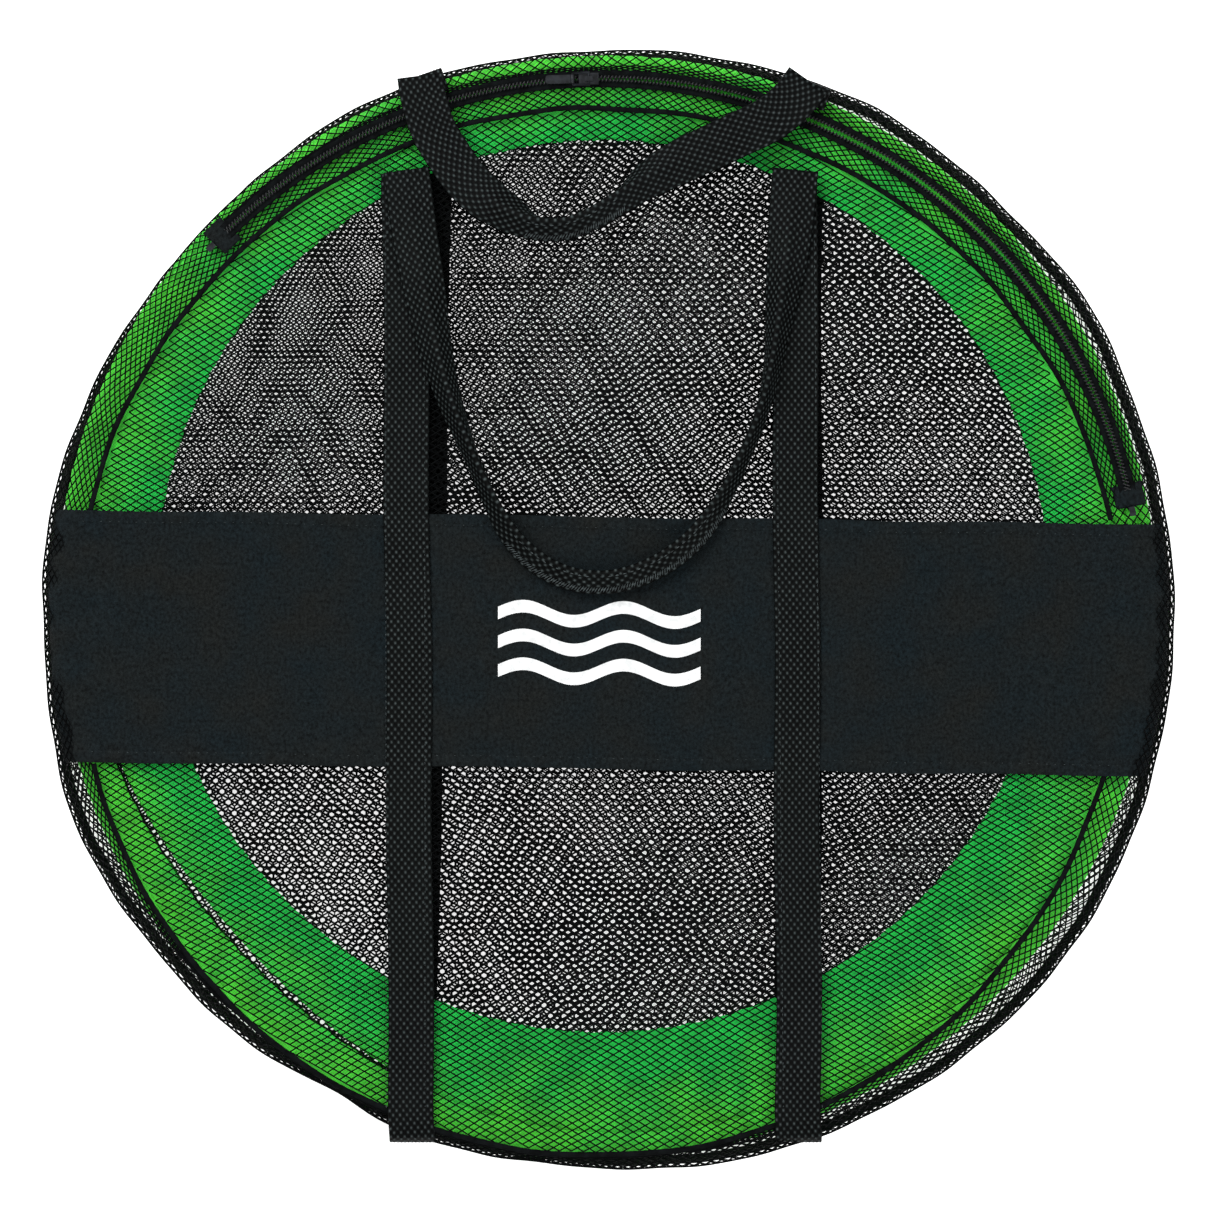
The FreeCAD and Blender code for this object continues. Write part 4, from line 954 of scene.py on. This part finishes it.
class CRABTRAP_OT_handles(bpy.types.Operator):
    """Build the two carry handles of webbing, folded lengthwise and oversewn at the grip"""
    bl_idname = "crabtrap.handles"
    bl_label = "Handles"

    def handle(self, body, route, folds, rest, grip, nodes):
        """One handle on its body, with slanted overcast stitches along the open edges of its folded part and a row
        of long stitches beside the fold."""
        _, _, colours = settings()
        finish = webbing_finish(colours.webbing, colours.float_glint)
        piece, skin = webbing(body + "_strap", even(route, 0.004), finish, folds, rest)
        seat(piece, body, "webbing", *nodes)
        count = skin.shape[1] // 2
        rows = np.arange(*(int(share * len(skin)) for share in grip))
        near, next_near, far, next_far = skin[rows, 2], skin[rows + 1, 2], skin[rows, 9], skin[rows + 1, 9]
        outward = unit(near - skin[rows, count * 2 - 3]) * 0.0002
        runs = []
        for part in np.linspace(0, 1, 3, endpoint=False):
            here = near * (1 - part) + next_near * part + outward
            there = far * (1 - part) + next_far * part + outward
            runs += list(zip(here, there + (next_near - near) * 0.45))
        sew(runs, body + "_overcasting", UPWARDS, 0.0006, 1.0, 0.95, body)
        seam, lift = skin[:, count // 2 - 5], np.array((0, 0, 0.0002))
        runs = [(seam[k] + lift, seam[k + 1] + lift) for k in rows]
        sew(runs, body + "_seam", UPWARDS, 0.0007, 1.0, 0.6, body)

    def execute(self, context):
        route = [(-0.111, 0.2425), (-0.1035, 0.190), (-0.085, 0.112), (-0.048, 0.040), (-0.003, 0.019),
                 (0.046, 0.042), (0.083, 0.104), (0.0985, 0.181), (0.105, 0.2425)]
        folds = [(0, 0, 0), (0.08, 12, 0), (0.20, 52, 6), (0.33, 84, 10), (0.42, 86, 62), (0.50, 86, 74),
                 (0.60, 86, 66), (0.66, 86, 20), (0.80, 76, 6), (0.90, 35, 0), (0.97, 0, 0), (1, 0, 0)]
        self.handle("front_handle", [(x, y, 0.0414) for x, y in route], folds, [(0, 0.0406), (1, 0.0406)],
                    (0.40, 0.64), ("front_handle_webbing", "front_handle_grip"))
        route = [(-0.1035, 0.2945), (-0.1010, 0.280), (-0.092, 0.257), (-0.066, 0.226), (-0.026, 0.214),
                 (0.020, 0.237), (0.066, 0.2585), (0.090, 0.2700), (0.1035, 0.2810), (0.1118, 0.2920)]
        folds = [(0, 0, 0), (0.24, 4, 0), (0.34, 34, 8), (0.42, 80, 44), (0.47, 84, 66), (0.52, 84, 58),
                 (0.62, 34, 10), (0.75, 4, 0), (1, 0, 0)]
        ends = (route[0], route[-1])
        self.handle("back_handle", [(x, y, 0.0456 if (x, y) in ends else 0.0460) for x, y in route], folds,
                    [(0, 0.0444), (0.03, 0.0452), (0.97, 0.0452), (1, 0.0444)], (0.38, 0.56),
                    ("back_handle_webbing", "back_handle_grip"))
        return {"FINISHED"}


# ---------------------------------------------------------------- operators: the trap

def seam_reach(angle):
    """The seam between the green cloth and the hoop's sleeve: a circle drawn in at the lower left."""
    away = (np.degrees(angle) - 222 + 180) % 360 - 180
    return 0.2935 - 0.0155 * np.exp(-(away / 30) ** 2)


def seam_slit(angle):
    """The width of the slit that the drawn-in seam leaves, a crescent about its middle direction."""
    middle, half, width = CRESCENT
    away = (angle - middle + math.pi) % TURN - math.pi
    return width * np.maximum(0.0, np.cos(np.clip(away / half, -1, 1) * math.pi / 2)) ** 0.7


def pucker(angle, share, seed):
    """Soft folds that run out across the green cloth, deepest in its middle."""
    return (0.5 + 0.5 * ripple(angle * 0.28, share * 0.02, seed, 0.030)) * np.sin(math.pi * share)


class CRABTRAP_OT_ends(bpy.types.Operator):
    """Build the trap's two end panels: black mesh with small holes, sewn into a border of green cloth"""
    bl_idname = "crabtrap.ends"
    bl_label = "End panels"

    def execute(self, context):
        _, trap, colours = settings()
        green = green_finish(colours.green, colours.lit_green)
        black = mesh_finish(colours.mesh)
        for end, body, sign in (("top", "trap_top", 1), ("bottom", "trap_base", -1)):
            (_, _, level), _ = middle_and_half(end + "_mesh_panel")
            edge = MESH_EDGE if sign > 0 else (MESH_EDGE[0], MESH_EDGE[1], MESH_EDGE[2] + 0.003)

            def keep(x, y):
                """Holes inside the mesh's edge, or behind the slit in the green cloth."""
                angle, r = np.arctan2(y, x), np.hypot(x, y)
                slit = seam_slit(angle)
                strip = (slit > 0.0008) & (np.abs(r - seam_reach(angle)) < slit / 2 + 0.003)
                return (r < reach(edge, angle) + 0.003) | strip

            stretch, hole = (1.0, trap.hole_width) if sign > 0 else (1.0044, 1.1 * trap.hole_width)
            def lift(x, y):
                """The mesh's height: just within the panel's middle, and slightly uneven."""
                return level - sign * 0.0002 + 0.0003 * ripple(x, y, 41 + sign, 0.06)

            points, faces = holed_mesh(trap.hole_pitch, hole, stretch, keep, lift)
            net = make(end + "_end_mesh", points, faces, black)
            seat(net, body, "trap_mesh", end + "_mesh_panel")
            angle = directions(720)[:, None]
            seam, slit = seam_reach(angle), seam_slit(angle) / 2
            for name, inner, outer, above, flat in (
                    ("inner", reach(edge, angle), seam - slit, 0.0007, (0.042, 1.70)),
                    ("outer", seam + slit - 0.0006, 0.3000, 0.0003, (0.010, 1.865))):
                share = np.linspace(0, 1, 18)
                r = inner + (outer - inner) * share
                r = r + 0.0003 * np.sin(97 * angle) * (1 - share)
                z = level + sign * (above + 0.0009 * pucker(angle, share, 43 + sign))
                ring = surface(f"{end}_end_cloth_{name}", polar(angle, r, z), green, (0.0024, 0.002),
                               close_u=True, flip=sign > 0)
                seat(thicken(ring, CLOTH_WALL, -1), body, "wall_net")
        return {"FINISHED"}


class CRABTRAP_OT_hoops(bpy.types.Operator):
    """Build the green sleeves round the three spring hoops and finish the wire and its ferrules"""
    bl_idname = "crabtrap.hoops"
    bl_label = "Hoops"

    def execute(self, context):
        _, _, colours = settings()
        green = green_finish(colours.green, colours.lit_green)
        turn, angle = directions(14), directions(600)
        bodies = (("bottom", "trap_base"), ("middle", "trap_middle"), ("top", "trap_top"))
        for seed, (hoop, body) in enumerate(bodies, 50):
            (_, _, level), (_, _, half) = middle_and_half(hoop + "_hoop_sleeve")
            gathers = 1 + 0.05 * ripple(angle[:, None] * 0.3, turn * 0.004, seed, 0.012)
            path = polar(angle, HOOP_MIDDLE, level)
            section = np.stack([0.0047 * np.cos(turn) * gathers, half * 0.95 * np.sin(turn) * gathers], -1)
            sleeve = swept("hoop_sleeve_" + hoop, path, UPWARDS, section, green, closed=True)
            thicken(sleeve, CLOTH_WALL, -1)
            seat(sleeve, body, "sleeve", hoop + "_hoop_sleeve")
        steel = smooth_finish("Spring_steel_drawn", linear("#8f9498"), 0.3, 1.0, grain=0.0005, light=1.4)
        crimp = smooth_finish("Steel_ferrule_zinc_plated", linear("#a5aaad"), 0.4, 1.0, grain=0.0008, light=1.3)
        for hoop, _ in bodies:
            repaint(steel, hoop + "_hoop")
            repaint(crimp, hoop + "_hoop_ferrule")
        return {"FINISHED"}


class CRABTRAP_OT_sides(bpy.types.Operator):
    """Build the two side sections, cloth folded inwards between the hoops, drawn fixed, though on the trap they
    open as the hoops part
    """
    bl_idname = "crabtrap.sides"
    bl_label = "Side sections"

    def execute(self, context):
        _, _, colours = settings()
        green = green_finish(colours.green, colours.lit_green)
        seam, held = 0.2985, 0.0004  # where the cloth meets the sleeves, and how much of it would move as they do
        for name, below, above in (("lower", "trap_base", "trap_middle"), ("upper", "trap_middle", "trap_top")):
            (_, _, level), (_, _, half) = middle_and_half("wall_net_" + name)
            angle, depth = directions(540)[:, None], np.linspace(-1, 1, 19)
            drawn = seam_slit(angle) / CRESCENT[2]
            fold = reach(MESH_EDGE, angle) + 0.006
            fold = fold + (0.2915 - fold) * np.clip(drawn * 3, 0, 1)
            folds_in = 1 - np.abs(depth) ** 1.2
            r = seam + (fold - seam) * folds_in
            r = r + 0.0012 * ripple(angle * 0.3, depth * 0.01, 61, 0.02) * folds_in
            z = level + half * depth * 0.93
            z = z + 0.0005 * ripple(angle * 0.3, depth * 0.02, 62, 0.025) * (1 - depth ** 4)
            piece = surface("side_cloth_" + name, polar(angle, r, z), green, (0.0035, 0.006), close_u=True)
            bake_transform(piece)
            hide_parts("wall_net_" + name)
        return {"FINISHED"}


class CRABTRAP_OT_inside(bpy.types.Operator):
    """Build the two entrance throats, the bait pouch and finish its clip"""
    bl_idname = "crabtrap.inside"
    bl_label = "Entrances and bait pouch"

    def execute(self, context):
        _, _, colours = settings()
        black, neck = mesh_finish(colours.mesh), 0.046
        for side, sign in (("left", -1), ("right", 1)):
            middle, (half_length, mouth, half_height) = middle_and_half("entrance_" + side)
            t, turn = np.linspace(0, 1, 40)[:, None], directions(64)
            half = mouth + (neck - mouth) * t ** 0.8
            tall = 0.0008 + (half_height - 0.001) * t
            x = middle[0] + sign * half_length * (1 - 2 * t) + 0 * turn
            y = middle[1] + half * np.cos(turn)
            z = middle[2] + tall * np.sin(turn) + 0.0003 * ripple(x, y, 71, 0.02)
            piece = surface("entrance_throat_" + side, np.stack([x, y, z], -1), black, (0.0033, 0.004),
                            close_v=True, flip=sign < 0)
            seat(piece, "trap_middle", "wall_net", "entrance_" + side)
        middle, half = middle_and_half("bait_pouch")
        u, v = table(np.linspace(0, math.pi, 33), directions(64))
        flatness = np.sin(u) ** 0.6
        x = middle[0] + half[0] * 0.98 * power(np.cos(v), 0.35) * flatness
        y = middle[1] + half[1] * 0.98 * power(np.sin(v), 0.35) * flatness
        z = middle[2] + half[2] * 0.9 * power(np.cos(u), 0.9) + 0.0004 * ripple(x, y, 72, 0.02) * np.sin(u)
        points = np.stack([x, y, z], -1)
        points[0], points[-1] = points[0].mean(0), points[-1].mean(0)
        quads, places = grid_faces(points.shape, False, True)
        pouch = make("bait_pouch_mesh", points, [quads[:, ::-1]], black, places[:, ::-1] * 0.003)
        seat(pouch, "trap_base", "trap_mesh", "bait_pouch")
        plastic = smooth_finish("Acetal_clip_moulded", colours.mesh, 0.4, grain=0.0007, light=2.0)
        repaint(plastic, "bait_clip")
        return {"FINISHED"}


class CRABTRAP_OT_stage(bpy.types.Operator):
    """Set the floor, the soft lights and the camera that looks straight down on the bag"""
    bl_idname = "crabtrap.stage"
    bl_label = "Stage"

    def execute(self, context):
        scene = context.scene
        scene.view_settings.view_transform = "Standard"
        half = 3.0
        corners = np.array([(-half, -half, 0), (half, -half, 0), (half, half, 0), (-half, half, 0)], float)

        def build(tree):
            dust = add(tree, "TexNoise", {"Vector": scaled(tree, 0.05), "Scale": 1.0, "Detail": 2.0})
            light, dark = rgba(linear("#ffffff")), rgba(linear("#f8f8f8"))
            tone = add(tree, "Mix", {0: dust.outputs[0], 6: dark, 7: light}, data_type="RGBA")
            return {"Base Color": tone.outputs[2]}

        paper = finished("Paper_backdrop_matt_white", build, Roughness=0.95, Emission_Color=(1, 1, 1, 1),
                         Emission_Strength=0.80)
        floor = make("floor", corners - np.array((0, 0, 0.0004)), [np.arange(4)[None]], paper, smooth=False)
        world = bpy.data.worlds.new("Soft_studio")
        scene.world = world
        world.use_nodes = True
        sky = world.node_tree.nodes["Background"].inputs
        sky["Color"].default_value, sky["Strength"].default_value = (1, 1, 1, 1), 0.5
        lamps = (("key", (-1.2, 1.4, 2.2), 1.8, 72), ("fill", (1.6, -1.0, 2.0), 2.2, 36))
        for name, place, size, watts in lamps:
            lamp = bpy.data.lights.new(name, "AREA")
            lamp.shape, lamp.size, lamp.energy = "SQUARE", size, watts
            light = bpy.data.objects.new(name, lamp)
            bpy.context.collection.objects.link(light)
            light.location = place
            light.rotation_euler = (-light.location).to_track_quat("-Z", "Y").to_euler()
        camera_data = bpy.data.cameras.new("camera")
        camera = bpy.data.objects.new("camera", camera_data)
        bpy.context.collection.objects.link(camera)
        away, framed, sensor = 6.0, 0.6745, 36.0
        camera.location = (0.0003, -0.0003, away)
        camera_data.sensor_width = sensor
        camera_data.lens = sensor * (away - NET_TOP) / framed
        camera_data.clip_end = 30.0
        scene.camera = camera
        return {"FINISHED"}


class CRABTRAP_PT_panel(bpy.types.Panel):
    """Sizes, colours and the steps that build the trap"""
    bl_label = "Crab Trap"
    bl_idname = "CRABTRAP_PT_panel"
    bl_space_type = "VIEW_3D"
    bl_region_type = "UI"
    bl_category = "Crab Trap"

    def draw(self, context):
        for group in settings():
            box = self.layout.box()
            for name in group.__annotations__:
                box.prop(group, name)
        for step in STEPS:
            self.layout.operator(step.bl_idname)


STEPS = (
    CRABTRAP_OT_stage, CRABTRAP_OT_edges, CRABTRAP_OT_zip, CRABTRAP_OT_nets, CRABTRAP_OT_band, CRABTRAP_OT_straps,
    CRABTRAP_OT_handles, CRABTRAP_OT_ends, CRABTRAP_OT_hoops, CRABTRAP_OT_sides, CRABTRAP_OT_inside,
)
GROUPS = (BagSizes, TrapSizes, TrapColours)


def register():
    for item in GROUPS + STEPS + (CRABTRAP_PT_panel,):
        bpy.utils.register_class(item)
    bpy.types.Scene.crab_trap_bag = PointerProperty(type=BagSizes)
    bpy.types.Scene.crab_trap_trap = PointerProperty(type=TrapSizes)
    bpy.types.Scene.crab_trap_colours = PointerProperty(type=TrapColours)


def unregister():
    for name in ("crab_trap_bag", "crab_trap_trap", "crab_trap_colours"):
        delattr(bpy.types.Scene, name)
    for item in reversed(GROUPS + STEPS + (CRABTRAP_PT_panel,)):
        bpy.utils.unregister_class(item)


def main():
    register()
    for step in STEPS:
        family, action = step.bl_idname.split(".")
        getattr(getattr(bpy.ops, family), action)()


if __name__ == "__main__":
    main()
